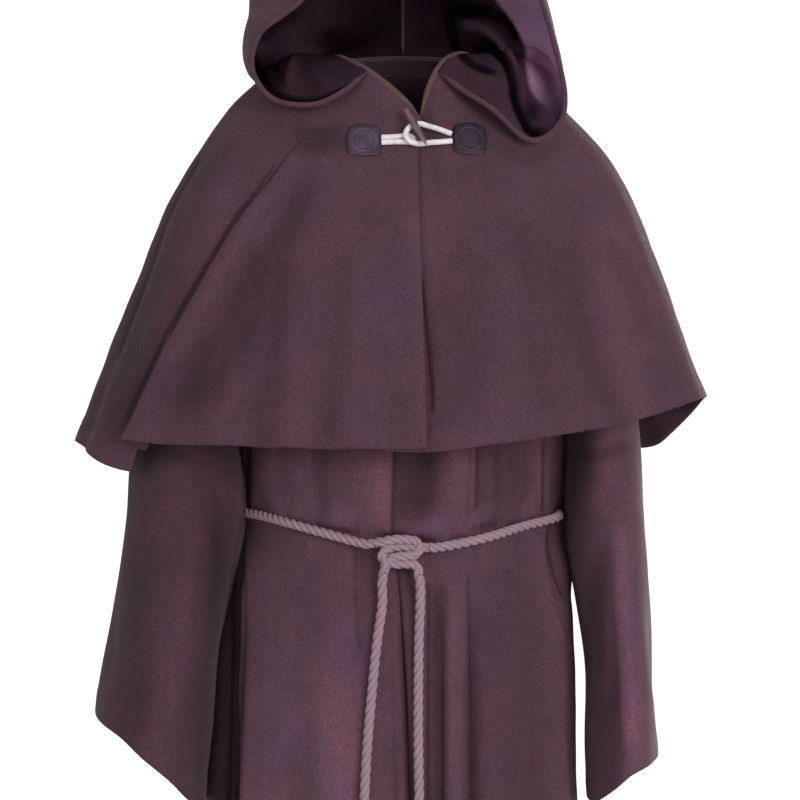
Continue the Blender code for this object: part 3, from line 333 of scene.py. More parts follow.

# These lines paint the shade inside the hood: the crescent of shadow inside its rim and the deep shadow beside
# the neck.
RIGHT_HOOD_LINES = rows_of(DrapeLine, [
    ([(252, 48), (260, 72), (270, 88), (284, 98), (300, 100), (318, 98), (341, 90), (364, 79)],
     5.5, 2.5, 0.0025, 0.78),
    ([(316, 37), (330, 38), (350, 40)], 11, 15, 0.006, 0.97),
    ([(295, 52), (291, 72), (288, 88)], 4, 4, -0.003, -0.4),
    ([(308, 0), (282, 20), (257, 44)], 9, 4, 0.003, 0.5),
    ([(270, 50), (273, 70), (281, 86)], 5, 5, 0.003, 0.26),
    ([(305, 60), (309, 78), (322, 92)], 5, 5, 0.002, 0.22),
])
# These lines paint the shade in the folds inside the hood, and painted light on the ridge between them.
LEFT_HOOD_LINES = rows_of(DrapeLine, [
    ([(446, 8), (470, 10), (492, 14), (508, 25), (520, 46)], 8, 3.5, 0.003, 0.82),
    ([(457, 24), (478, 27), (496, 37), (509, 56), (515, 82)], 5, 3, -0.004, -2),
    ([(470, 41), (488, 46), (504, 59), (513, 80), (516, 100), (523, 118), (533, 131), (549, 126)],
     5.5, 4.5, 0.0045, 0.9),
    ([(530, 96), (533, 126)], 5, 10, 0.004, 0.74),
    ([(448, 4), (453, 36), (463, 56), (481, 69), (499, 76)], 6, 3, 0.0015, 0.8),
])
# Where the left hood's rim turns its outer face forward: down, then across, in the front view
LEFT_RIM_TURN = [(0, 494), (16, 505), (43, 521), (70, 524), (92, 529), (120, 553), (140, 560)]

# The long fold's line, along which the cloth behind the rolled edge is painted darker for the shade in its
# recess.
LONG_FOLD_LINE = DrapeLine(
    [(277, 162), (255, 193), (238, 215), (216, 252), (191, 293), (171, 330), (152, 369), (131, 410), (124, 427)],
    0.6, 3, 0.002, 0.56,
)
# Besides the shade of the folds, these lines paint broad shade towards the cape's outer side and the shade under
# the hood's rim.
CAPE_RIGHT_LINES = rows_of(DrapeLine, [
    ([(268, 196), (240, 238), (216, 280), (192, 325), (170, 368)], 5, 5, -0.0006, -0.14),
    ([(203, 157), (174, 212), (162, 246), (144, 290), (130, 327), (118, 360)], 1.6, 1.6, 0.0012, 0.3),
    ([(311, 174), (288, 224), (255, 268), (227, 313), (199, 357), (180, 412)], 12, 9, 0.0016, 0.12),
    ([(285, 250), (274, 327), (266, 368), (255, 410), (248, 446)], 7, 8, 0.001, 0.1),
    ([(238, 352), (230, 395), (218, 428)], 8, 8, -0.001, -0.08),
    ([(292, 327), (288, 372)], 8, 8, -0.0006, -0.07),
    ([(345, 250), (338, 369), (320, 447)], 9, 9, 0.0008, 0.07),
    ([(286, 136), (318, 141), (346, 134)], 16, 14, 0.001, 0.46),
    ([(226, 130), (196, 180), (166, 260), (132, 350), (98, 440)], 22, 22, 0.0004, 0.28),
    ([(205, 330), (180, 390), (165, 436)], 22, 26, 0, 0.14),
    ([(413, 205), (416, 300), (421, 380), (425, 440)], 4, 4, -0.0002, -0.08),
])
# Besides the shade of the folds, these lines paint broad shade and light and the shadow that the right front's
# edge casts on the left front.
CAPE_LEFT_LINES = rows_of(DrapeLine, [
    ([(500, 180), (520, 300), (530, 440)], 60, 80, 0, 0.1),
    ([(421, 276), (424, 302), (427, 333), (430, 362), (432, 392), (432, 416)], 1.6, 1.6, 0.0006, 0.7),
    ([(464, 246), (446, 292), (440, 340)], 10, 10, 0.0006, 0.07),
    ([(604, 240), (626, 278), (644, 335)], 9, 9, 0.001, 0.08),
    ([(516, 320), (535, 365), (548, 405)], 10, 12, 0.0006, 0.06),
    ([(486, 140), (520, 158), (552, 150)], 8, 8, 0.0008, 0.12),
    ([(575, 200), (620, 270), (650, 340)], 34, 34, 0, -0.12),
])
# Besides the shade of the folds, these lines paint the shadows cast where the bodice puffs over the rope, the
# shadow beside the right tail, and the shade at the robe's sides.
ROBE_LINES = rows_of(DrapeLine, [
    ([(250, 440), (250, 478), (248, 508)], 3, 2.5, 0.002, 0.66),
    ([(314, 446), (314, 505)], 0.8, 0.8, 0.0006, 0.2), ([(379, 448), (380, 524)], 7, 6, -0.0006, -0.1),
    ([(393, 440), (392, 480), (391, 536)], 1.6, 1.4, 0.0016, 0.6),
    ([(421, 440), (419, 480), (416, 528)], 19, 13, 0.0016, 0.26),
    ([(427, 440), (427, 466)], 13, 10, 0.001, 0.3), ([(461, 440), (459, 512)], 7, 6, -0.001, -0.12),
    ([(475, 440), (475, 480), (474, 514)], 1.5, 1.2, 0.0014, 0.52),
    ([(496, 446), (496, 505)], 2.5, 3, 0.0008, 0.16),
    ([(542, 440), (542, 480), (541, 514)], 1.9, 1.6, 0.0014, 0.62),
    ([(556, 440), (557, 505)], 9, 8, 0.001, 0.34),
    ([(250, 506), (282, 517), (312, 524)], 1.4, 1.4, 0.0004, 0.5),
    ([(314, 523), (336, 528), (358, 532)], 2.6, 2.6, 0.0006, 0.66),
    ([(378, 535), (404, 536), (440, 541)], 3.5, 3, 0.0006, 0.8),
    ([(446, 540), (474, 531)], 1.4, 1.4, 0.0004, 0.45), ([(473, 527), (500, 523)], 2.6, 2.6, 0.0006, 0.66),
    ([(504, 524), (540, 515)], 1.4, 1.4, 0.0004, 0.45),
    ([(551, 514), (560, 506), (568, 498)], 3, 6, 0.0006, 0.8),
    ([(397, 566), (401, 610), (405, 669), (408, 720), (413, 812), (424, 1080), (434, 1430)], 1.2, 8, 0.003, 0.66),
    ([(437, 575), (439, 700), (441, 810), (448, 1430)], 8, 9, 0.001, 0.16),
    ([(457, 580), (458, 700), (459, 810), (474, 1430)], 7, 10, -0.001, -0.1),
    ([(467, 570), (469, 690), (470, 810), (490, 1430)], 1.6, 4, 0.0008, 0.24),
    ([(549, 524), (546, 540), (548, 556), (553, 576), (562, 600)], 1.8, 1.8, 0.0016, 0.6),
    ([(556, 538), (561, 560), (566, 582)], 4, 4, -0.001, -0.14),
    ([(428, 580), (427, 690), (427, 850)], 1.4, 2.2, 0.0008, 0.52),
    ([(357, 518), (355, 580), (359, 655)], 2, 2, 0.0008, 0.18),
    ([(228, 520), (226, 640), (221, 810), (196, 1430)], 14, 22, 0.001, 0.34),
    ([(244, 520), (246, 640), (238, 810), (222, 1430)], 1.8, 3, 0.0012, 0.36),
    ([(236, 540), (234, 640), (229, 810), (206, 1430)], 1.8, 2.4, 0.0012, 0.34),
    ([(268, 540), (262, 660), (256, 810), (236, 1430)], 10, 14, -0.0008, -0.07),
    ([(514, 535), (510, 680), (508, 900)], 34, 44, -0.0006, 0.28),
    ([(316, 560), (306, 680), (296, 810), (270, 1430)], 14, 20, 0.001, 0.08),
    ([(320, 650), (318, 740), (316, 960)], 44, 60, 0, -0.4), ([(278, 446), (280, 500)], 22, 22, 0, -0.22),
    ([(516, 440), (515, 510)], 20, 20, 0.0004, 0.34), ([(284, 440), (284, 505)], 18, 18, 0, -0.4),
])
# Besides the shade of the folds, one of these lines paints the shadow under the cape's hem on the sleeve's top.
RIGHT_SLEEVE_LINES = rows_of(DrapeLine, [
    ([(224, 490), (216, 580), (208, 700), (200, 790)], 11, 10, 0.0012, 0.22),
    ([(240, 512), (228, 594), (220, 642), (215, 695), (207, 805)], 1.8, 1.8, 0.001, 0.36),
    ([(188, 560), (181, 640), (172, 720)], 8, 7, -0.001, -0.12),
    ([(122, 448), (150, 452), (186, 460)], 12, 9, 0.0006, 0.34),
    ([(118, 520), (112, 610), (106, 690)], 8, 8, 0.001, 0.08),
    ([(150, 620), (146, 690), (140, 745)], 8, 8, 0.0008, 0.09),
    ([(240, 446), (243, 480), (242, 508)], 3, 3, 0.001, 0.5),
])
LEFT_SLEEVE_LINES = rows_of(DrapeLine, [
    ([(618, 520), (624, 640), (631, 750)], 6, 6, -0.0012, -0.18),
    ([(598, 560), (597, 620), (598, 680)], 7, 7, 0.0012, 0.2),
    ([(646, 520), (650, 620), (652, 700)], 5, 5, 0.0008, 0.14),
    ([(622, 690), (618, 740), (612, 800)], 34, 34, 0, -0.24),
    ([(570, 446), (572, 500), (568, 540)], 7, 5, 0.0008, 0.3),
    ([(636, 440), (600, 455), (566, 452)], 7, 6, 0.0006, 0.3),
])

# How light each piece's wool is painted, standing in for the light and shade that fall on it: painted shade on
# the back's yoke, the right sleeve and the hood's inside, and painted light on the left hood's turned rim
CAPE_LIGHT = 0.81
ROBE_LIGHT = 1.00
YOKE_BACK_LIGHT = 0.40
SLEEVE_LIGHT = {-1: 0.65, 1: 0.98}
HOOD_INSIDE_SHADE = {-1: 0.38, 1: 0.50}
HOOD_UPPER_LIGHT = 0.80
HOOD_TURN_LIGHT = (5.0, 0.55)

# Where the cape's long fold lies on its way down
StepStop = namedtuple("StepStop", "share angle")
STEP_STOPS = rows_of(StepStop, [
    (0, -34), (0.3, -37.8), (0.36, -38.9), (0.44, -39.9), (0.52, -41.7), (0.6, -43.7), (0.7, -46.5),
    (0.8, -48.7), (0.9, -50.5), (1, -51.9),
])

# How many rows and columns each cloth's grid has
ROBE_FRONT_COLUMNS = 290
ROBE_BACK_COLUMNS = 150
YOKE_ROWS = 12
BODICE_ROWS = 66
SKIRT_ROWS = 84
BACK_BODICE_ROWS = 40
BACK_SKIRT_ROWS = 56
BODICE_END = 0.620
SLEEVE_TURN_STEPS = 168
SLEEVE_ROWS = 112
CAPE_FRONT_COLUMNS = 172
CAPE_FRONT_ROWS = 118
CAPE_BACK_COLUMNS = 120
CAPE_BACK_ROWS = 84
HOOD_COLUMNS = 140
HOOD_ROWS = 130

# The rolled edge of the long fold, how far its cloth doubles back, and how its columns crowd there
STEP_COLUMN_SHARE = 0.42
STEP_CROWDING = 2.1
STEP_OVERLAP = 2.3
STEP_OVERLAP_EDGE = 0.95
STEP_OVERLAP_REACH = 4.5
ROLL_HEIGHT = 0.0045
ROLL_REACH = 5.0
RECESS_DEPTH = 0.0060
RECESS_REACH = 2.6

# Turned-up hems
HEM_BAND = 0.022
HEM_RISE = 0.0007
HEM_EDGE = 0.002
HEM_DENT = 0.0005
HEM_DENT_WIDTH = 0.0012


# Sums that all the shapes share


def clamp(value):
    """The value, kept between 0 and 1."""
    return np.clip(value, 0.0, 1.0)


def ease(value):
    """A soft step from 0 to 1."""
    value = clamp(value)
    return value * value * (3 - 2 * value)


def mix(a, b, share):
    return a + (b - a) * share


def bump(value, width):
    """A soft hill of height 1 at 0."""
    return np.exp(-((value / width) ** 2))


def curve_through(places, values, place):
    """A smooth curve through rows of values at the places, read at one place, or at one for each column."""
    places = np.asarray(places, float)
    values = np.asarray(values, float)
    place = np.asarray(place, float)
    last = len(places) - 1
    low = np.maximum(np.arange(last + 1) - 1, 0)
    high = np.minimum(np.arange(last + 1) + 1, last)
    spans = (places[high] - places[low]).reshape((-1,) + (1,) * (values.ndim - 1))
    slopes = (values[high] - values[low]) / spans
    i = np.clip(np.searchsorted(places, place, side="left") - 1, 0, last - 1)
    span = places[i + 1] - places[i]
    t = (place - places[i]) / span
    if place.ndim and values.ndim > 1:
        column = np.arange(place.size)
        start, end = values[i, column], values[i + 1, column]
        first, final = slopes[i, column], slopes[i + 1, column]
        shape = (-1,) + (1,) * (values.ndim - 2)
        t = t.reshape(shape)
        span = span.reshape(shape)
    else:
        start, end, first, final = values[i], values[i + 1], slopes[i], slopes[i + 1]
    rise = (2 * t - 3) * t * t
    return start * (1 + rise) - end * rise + first * (span * t * (1 - t) ** 2) + final * (span * t * t * (t - 1))


def read_table(table, key, place):
    """A row read between a table's rows, with each column on its own smooth curve."""
    places = [getattr(row, key) for row in table]
    return type(table[0])(*[curve_through(places, column, place) for column in zip(*table)])


def off_front(angle):
    """How far an angle lies from the centre front, 0 to 180."""
    return np.abs((angle + 180) % 360 - 180)


def angle_between(angle, other):
    return (angle - other + 180) % 360 - 180


def unit(vectors):
    return vectors / np.maximum(np.linalg.norm(vectors, axis=-1, keepdims=True), 1e-12)


def outward_at(turn, up):
    """The unit direction out of the body at each turn from the front, tilted up by a share."""
    return unit(np.stack([np.sin(turn), -np.cos(turn), up + 0 * turn], -1))


def raised(points, outward, height):
    return points + outward * height[..., None]


def side_and_drop(points):
    return points[..., 0], -points[..., 2]


def across_surface(points, ring=False):
    """The unit direction out of a surface's grid of points, to the side of column x row."""
    if ring:
        wide = np.roll(points, -1, axis=1) - np.roll(points, 1, axis=1)
    else:
        wide = np.gradient(points, axis=1)
    return unit(np.cross(wide, np.gradient(points, axis=0)))


WAVES = 7


def unevenness(points, size, height, seed):
    """Slow irregular waves through space, so that no stretch of cloth is quite even."""
    rng = np.random.default_rng(seed)
    total = np.zeros(points.shape[:-1])
    for _ in range(WAVES):
        direction = rng.normal(size=3)
        direction *= 2 * math.pi / (size * rng.uniform(0.7, 1.5)) / np.linalg.norm(direction)
        total += np.sin(points @ direction + rng.uniform(0, 2 * math.pi))
    return total * height / math.sqrt(WAVES)


def fold_height(fold, side, drop):
    """The height of one fold given by its ends."""
    run = (drop - fold.top_drop) / (fold.bottom_drop - fold.top_drop)
    centre = mix(fold.top_side, fold.bottom_side, run) + fold.bow * np.sin(np.pi * clamp(run))
    away = side - centre
    width = np.where(away < 0, fold.right, fold.left)
    height = mix(fold.depth, fold.end_depth, clamp(run)) * np.exp(-((away / width) ** 2))
    if fold.edge:
        height = height * np.tanh(away / fold.edge)
    return height * ease(run / 0.18) * ease((1 - run) / 0.18)


# Folds placed in the front view


def as_seen(points):
    """Where points lie across and down the front view."""
    scale = VIEW_SCALE / (VIEW_DISTANCE + points[..., 1])
    across = VIEW_MIDDLE + (points[..., 0] - VIEW_SIDE) * scale
    return across, VIEW_MIDDLE - (points[..., 2] + VIEW_DROP) * scale


def near_line(across, down, line):
    """1 on a line of stops, falling to 0 beside it and tapering at its ends."""
    stops = np.array(line.stops, float)
    places = lengths_along(stops[None], 1)[0]
    steps = np.linspace(0, places[-1], LINE_STEPS)
    fine = np.array([curve_through(places, stops, step) for step in steps])
    near = np.zeros(across.shape)
    for a, b, first, last in zip(fine[:-1], fine[1:], steps[:-1], steps[1:]):
        way = b - a
        t = clamp(((across - a[0]) * way[0] + (down - a[1]) * way[1]) / (way @ way))
        away = np.hypot(across - a[0] - t * way[0], down - a[1] - t * way[1])
        place = mix(first, last, t)
        half = mix(line.width, line.end_width, place / places[-1])
        from_end = np.minimum(place, places[-1] - place)
        size = 0.2 + 0.8 * ease(from_end / (2.0 * half + 4.0))
        near = np.maximum(near, size * ease((1.5 * half + 0.7 - away) / (half + 0.9)))
    return near


def draped(points, outward, lines, light):
    """The height and the painted light and shade that folds placed in the front view give to the cloth's near
    side.
    """
    across, down = as_seen(points)
    facing = ease(0.5 - 4.0 * outward[..., 1])
    height = np.zeros(across.shape)
    lightness = np.full(across.shape, light)
    for line in lines:
        near = near_line(across, down, line) * facing
        height -= line.depth * near
        lightness *= 1 - line.dark * near
    return height, lightness


# Robe


def belt_drop(angle):
    """The belt's height: lowest at the knot and highest at the back."""
    away = off_front(angle)
    sag = np.where(angle_between(angle, 0) > 0, BELT_LEFT_SAG, BELT_RIGHT_SAG)
    front = mix(BELT_SIDE_DROP, BELT_FRONT_DROP, clamp(1 - away / 90) ** sag)
    return np.where(away <= 90, front, mix(BELT_SIDE_DROP, BELT_BACK_DROP, (away - 90) / 90))


def robe_fold_depth(angle, drop):
    """The height of all the robe's large folds at a place, pressed flat under the belt."""
    depth = 0.0
    for fold in ROBE_FOLDS:
        run = (drop - fold.top_drop) / (fold.bottom_drop - fold.top_drop)
        fade = ease(run / 0.18) * (run <= 1.000001)
        if fold.bottom_drop < HEM_DROP:
            fade = fade * ease((1 - run) / 0.18)
        centre = mix(fold.top_angle, fold.bottom_angle, run)
        size = mix(fold.depth, fold.hem_depth, run)
        depth = depth + size * fade * bump(angle_between(angle, centre), fold.width)
    return depth * (1 - BELT_PRESS * bump(drop - belt_drop(angle), BELT_PRESS_REACH))


def robe_point(angle, level, folds=True):
    """Points of the robe's cloth and their outward directions."""
    angle = np.asarray(angle, float)
    section = read_table(ROBE_SECTIONS, "drop", level)
    drop = level + (belt_drop(angle) - BELT_LEVEL) * bump(level - BELT_LEVEL, BELT_SWAY_REACH)
    turn = np.radians(angle)
    forward = np.cos(turn)
    depth = np.where(forward > 0, section.front, section.back)
    outward = unit(np.stack([np.sin(turn) / section.half_width, -forward / depth, 0 * turn], -1))
    point = np.stack([section.centre + section.half_width * np.sin(turn), -depth * forward, -drop + 0 * turn], -1)
    if folds:
        point = raised(point, outward, robe_fold_depth(angle, drop))
    return point, outward


def robe_top(angle):
    """The robe's top line: the shoulder seam, then the neckline."""
    away = off_front(angle)
    side = np.where(angle_between(angle, 0) >= 0, 1.0, -1.0)
    front = away <= 90
    from_middle = np.where(front, away, 180 - away)
    along = (from_middle - NECK_ANGLE) / (90 - NECK_ANGLE)
    x = mix(ROBE_NECK_WIDTH, SHOULDER_TIP.x, along)
    z = mix(-ROBE_NECK_DROP, SHOULDER_TIP.z, along) + SHOULDER_ARCH * np.sin(np.pi * clamp(along))
    shoulder = np.stack([side * x, 0 * x, z], -1)
    turn = np.radians(np.minimum(from_middle / NECK_ANGLE, 1) * 90)
    middle_y = np.where(front, ROBE_NECK_FRONT.y, ROBE_NECK_BACK.y)
    middle_z = np.where(front, ROBE_NECK_FRONT.z, ROBE_NECK_BACK.z)
    neck_z = mix(middle_z, -ROBE_NECK_DROP, 1 - np.cos(turn))
    neck = np.stack([side * ROBE_NECK_WIDTH * np.sin(turn), middle_y * np.cos(turn), neck_z], -1)
    return np.where((from_middle >= NECK_ANGLE)[..., None], shoulder, neck)


def robe_yoke_point(angle, share):
    """Points between the chest, share 0, and the top line, share 1."""
    chest, _ = robe_point(angle, CHEST_DROP)
    top = robe_top(angle)
    from_middle = np.minimum(off_front(angle), 180 - off_front(angle))
    share = np.broadcast_to(share, np.shape(angle))
    point = mix(chest, top, share[..., None])
    y = mix(top[..., 1], chest[..., 1], np.cos(share * np.pi / 2).clip(0) ** 0.8)
    hollow = np.sin(np.pi * share).clip(0) ** 0.8 * (from_middle / 90) ** 5
    point[..., 1] = y + np.where(off_front(angle) <= 90, -1, 1) * ARMHOLE_DEPTH * hollow
    return point


def armhole_point(side, turn):
    """Points of the armhole, with turn 0 on the shoulder and growing backwards on the left side."""
    share = (1 + np.cos(turn)) / 2
    angle = side * np.where(side * np.sin(turn) >= 0, BACK_START, 90.0)
    return robe_yoke_point(angle, share)


def hem_band(from_edge):
    """The slight rise of the cloth where its hem is turned up, with the dent of its stitches."""
    band = HEM_RISE * (1 - ease((from_edge - HEM_BAND) / HEM_EDGE))
    return band - HEM_DENT * bump(from_edge - HEM_BAND + HEM_EDGE, HEM_DENT_WIDTH)


# How many small gathers run from the rope, up or down
GATHERS = 58


def belt_cloth(points, angle):
    """How the bodice puffs over the rope, where the robe is fuller, and the gathers above and below the rope."""
    drop = -points[..., 2]
    above = belt_drop(angle) - drop
    height = np.zeros(drop.shape)
    for puff in PUFFS:
        height += puff.height * bump(angle_between(angle, puff.angle), puff.width)
    height *= bump(above - PUFF_RISE, PUFF_REACH) * ease((above + 0.002) / 0.009)
    for part in ROBE_FULLNESS:
        reach = ease((drop - part.top) / part.rise) * ease((part.bottom - drop) / part.fall)
        height += part.height * bump(angle_between(angle, part.angle), part.width) * reach
    rng = np.random.default_rng(5)
    for _ in range(GATHERS):
        centre = rng.uniform(-180, 180)
        width = rng.uniform(1.3, 2.6)
        size = rng.uniform(0.0006, 0.0019) * rng.choice([-1, 1])
        reach = rng.uniform(0.020, 0.060)
        lean = rng.uniform(-30, 30)
        downward = rng.random() < 0.62
        along = -above if downward else above
        run = clamp(along / reach)
        line = size * bump(angle_between(angle, centre + lean * along), width * (1 + 0.8 * run))
        height += line * ease((along - 0.003) / 0.010) * (1 - ease(run)) * (along > 0)
    return height + 0.0012 * bump(above, 0.010)


def robe_cloth(front):
    """The robe's front or back, from the shoulders to the hem."""
    if front:
        columns, first, last, crowding = ROBE_FRONT_COLUMNS, -90, 90, 0.62
        bodice_rows, skirt_rows = BODICE_ROWS, SKIRT_ROWS
    else:
        columns, first, last, crowding = ROBE_BACK_COLUMNS, BACK_START, BACK_END, 0.85
        bodice_rows, skirt_rows = BACK_BODICE_ROWS, BACK_SKIRT_ROWS
    w = np.linspace(-1, 1, columns + 1)
    angle = (first + last) / 2 + (last - first) / 2 * mix(w ** 3, w, crowding)
    rows = [robe_yoke_point(angle, 1 - j / YOKE_ROWS) for j in range(YOKE_ROWS)]
    levels = np.linspace(CHEST_DROP, BODICE_END, bodice_rows + 1)
    levels = np.concatenate([levels, np.linspace(BODICE_END, HEM_DROP, skirt_rows + 1)[1:]])
    rows += [robe_point(angle, level)[0] for level in levels]
    points = np.array(rows)
    outward = -across_surface(points)
    side, drop = side_and_drop(points)
    height = belt_cloth(points, angle)
    if front:
        facing = ease(np.abs(outward[..., 1]) / 0.6)
        for fold in BODICE_FOLDS + SKIRT_FOLDS:
            height += fold_height(fold, side, drop) * facing
    below = ease((drop - 0.56) / 0.30)
    height += unevenness(points * (1, 1, 0.28), size=0.085, height=0.0016, seed=11) * below
    height += unevenness(points, size=0.050, height=0.0004, seed=12)
    height += hem_band(HEM_DROP - drop)
    if front:
        depth, lightness = draped(raised(points, outward, height), outward, ROBE_LINES, ROBE_LIGHT)
        height += depth
    else:
        lightness = np.full(side.shape, ROBE_LIGHT)
        # Painted shade on the back's yoke, seen inside the neck opening.
        lightness[:YOKE_ROWS] = YOKE_BACK_LIGHT
    height *= ease((drop - 0.28) / 0.06)
    return raised(points, outward, height), height, lightness


# Sleeves


def sleeve_cloth(table, side, lean):
    """A sleeve from the armhole down to the slanted cuff."""
    places = [i / len(table) for i in range(len(table) + 1)]
    turn = np.linspace(0, 2 * math.pi, SLEEVE_TURN_STEPS, endpoint=False)
    line = [armhole_point(side, turn)]
    line[0][..., 0] += side * mix(SLEEVE_GAP_UNDER, SLEEVE_GAP_TOP, ((1 + np.cos(turn)) / 2) ** 3)
    for section, place in zip(table, places[1:]):
        outer = np.array((side * section.outer_side, 0, -section.outer_drop))
        inner = np.array((side * section.inner_side, -lean * place, -section.inner_drop))
        point = mix(inner, outer, ((1 + np.cos(turn)) / 2)[:, None])
        point[..., 1] += side * section.half_depth * np.sin(turn)
        point[..., 2] += CUFF_ARCH * (place * np.sin(turn)) ** 2
        line.append(point)
    steps = np.linspace(0, 1, SLEEVE_ROWS + 1)
    points = np.array([curve_through(places, line, step) for step in steps])
    outward = -across_surface(points, ring=True)
    height = np.zeros(points.shape[:2])
    across, drop = side_and_drop(points)
    inner = bump(turn - math.pi, 0.8) * bump(drop - SLEEVE_INNER_DROP, SLEEVE_INNER_REACH)
    height += SLEEVE_INNER_FULLNESS[side] * inner
    for hollow in SLEEVE_HOLLOWS[side]:
        height -= hollow.depth * bump(turn - math.pi, 0.9) * bump(drop - hollow.drop, hollow.reach)
    facing = ease(np.abs(outward[..., 1]) / 0.5)
    for fold in SLEEVE_FOLDS:
        if fold.top_side * side > 0:
            height += fold_height(fold, across, drop) * facing
    grown = ease((steps - 0.12) / 0.2)[:, None]
    height += unevenness(points * (1, 1, 0.4), size=0.060, height=0.0016, seed=21 + side) * grown
    from_cuff = np.linalg.norm(points[-1] - points, axis=-1)
    height += hem_band(from_cuff) * grown
    lines = RIGHT_SLEEVE_LINES if side < 0 else LEFT_SLEEVE_LINES
    depth, lightness = draped(raised(points, outward, height * grown), outward, lines, SLEEVE_LIGHT[side])
    height += depth
    return raised(points, outward, height * grown), height, lightness


# Cape


def neckline_drop(angle):
    """The cape's neckline, which falls to a narrow vee beside the front edge."""
    away = angle_between(angle, NECK_VEE_ANGLE)
    right = NECK_VEE_DROP * clamp(1 + away / (90 + NECK_VEE_ANGLE)) ** 2.1
    left = NECK_VEE_DROP * clamp(1 - away / (90 - NECK_VEE_ANGLE)) ** 5.2
    return np.where(away <= 0, right, left)


def step_angle(share):
    return read_table(STEP_STOPS, "share", share).angle


def step_away(angle, share):
    return angle_between(angle, 0) - step_angle(share)


def cape_step(angle, share):
    """The step where the right front lies over the side of the cape."""
    away = step_away(angle, share)
    grown = ease((share - 0.10) / 0.9)
    high = STEP_RISE * bump(away, STEP_RISE_WIDTH)
    low = -STEP_FALL * bump(away, STEP_FALL_WIDTH)
    return np.where(away >= 0, high, low) * grown * np.tanh(np.abs(away) / STEP_EDGE)


def cape_fold_depth(angle, share):
    depth = cape_step(angle, share)
    for fold in CAPE_FOLDS:
        centre = mix(fold.neck_angle, fold.hem_angle, share)
        size = mix(fold.depth, fold.hem_depth, share) * ease(share / 0.3)
        depth = depth + size * bump(angle_between(angle, centre), fold.width)
    return depth


def hem_dip(angle):
    """How much lower the cape's hem hangs than its sections say, beside the step only under it."""
    behind = ease((STEP_STOPS[-1].angle - SIDE_DIP_START - angle_between(angle, 0)) / STEP_EDGE)
    side = SIDE_DIP.drop * bump(angle_between(angle, SIDE_DIP.angle), SIDE_DIP.width)
    return BACK_DIP.drop * bump(angle_between(angle, BACK_DIP.angle), BACK_DIP.width) + behind * side


def cape_line(angle):
    """The points down the cape at each angle, one row for each section."""
    turn = np.radians(angle)
    across = np.sin(turn)
    forward = np.cos(turn)
    rows = []
    for section in CAPE_SECTIONS:
        half_width = np.where(across >= 0, section.left, section.right)
        side_drop = np.where(across >= 0, section.left_drop, section.right_drop)
        depth = np.where(forward > 0, section.front, section.back)
        end_drop = np.where(forward > 0, section.front_drop, section.back_drop)
        drop = mix(side_drop, end_drop, forward * forward)
        if section.share == 0:
            drop = np.where(forward > 0, neckline_drop(angle), drop)
        drop = drop + hem_dip(angle) * section.share ** 3
        rows.append(np.stack([half_width * across, -depth * forward, -drop], -1))
    return np.array(rows)


def cape_point(angle, share, slide=0.0):
    """Points of the cape's cloth, each slid round by an angle under its own fold."""
    places = [section.share for section in CAPE_SECTIONS]
    point = curve_through(places, cape_line(angle + slide), share)
    return raised(point, outward_at(np.radians(angle), 0.35), cape_fold_depth(angle, share))


def cape_edge_angle(share):
    """The right front's free edge, which is nearly plumb."""
    return mix(CAPE_EDGE_HEM_ANGLE, CAPE_EDGE_NECK_ANGLE, (1 - share) ** 6.2)


def step_slide(angle, share):
    """How far the cloth folds back under itself beside the step."""
    away = step_away(angle, share)
    return -STEP_OVERLAP * step_grown(share) * np.tanh(away / STEP_OVERLAP_EDGE) * bump(away, STEP_OVERLAP_REACH)


def step_grown(share):
    """How far the long fold has opened on its way down the cape."""
    return ease((share - 0.20) / 0.32) * (0.75 + 0.25 * share)


def step_roll(angle, share):
    """The rolled edge of the long fold, and the recess beside it."""
    away = step_away(angle, share)
    roll = ROLL_HEIGHT * bump(away, ROLL_REACH)
    recess = -RECESS_DEPTH * bump(away + 0.9, RECESS_REACH)
    return np.where(away >= 0, roll, recess) * np.tanh(np.abs(away) / STEP_OVERLAP_EDGE) * step_grown(share)


def cape_angles(part, share, columns):
    """The angles across one row of a panel of the cape."""
    u = np.linspace(0, 1, columns + 1)
    if part == "right":
        step = step_angle(share)
        behind = step + (-90 - step) * clamp((STEP_COLUMN_SHARE - u) / STEP_COLUMN_SHARE) ** STEP_CROWDING
        before = clamp((u - STEP_COLUMN_SHARE) / (1 - STEP_COLUMN_SHARE))
        before = mix(before ** STEP_CROWDING, before, 0.45)
        return np.where(u < STEP_COLUMN_SHARE, behind, mix(step, cape_edge_angle(share), before))
    if part == "left":
        return mix(mix(CAPE_UNDERLAP_ANGLE, 6.0, (1 - share) ** 2), 90, u)
    return mix(90, 270, u)


def left_front_lift(angle, share):
    """The left front's edge lies behind the right front's, and gapes in the middle of its length."""
    clear = ease((angle - cape_edge_angle(share) - 4) / 8)
    gape = CAPE_EDGE_GAPE * bump(share - 0.80, 0.17) * bump(angle - cape_edge_angle(share), 3.0)
    return -CAPE_UNDERLAP_DEPTH * (1 - clear) - gape


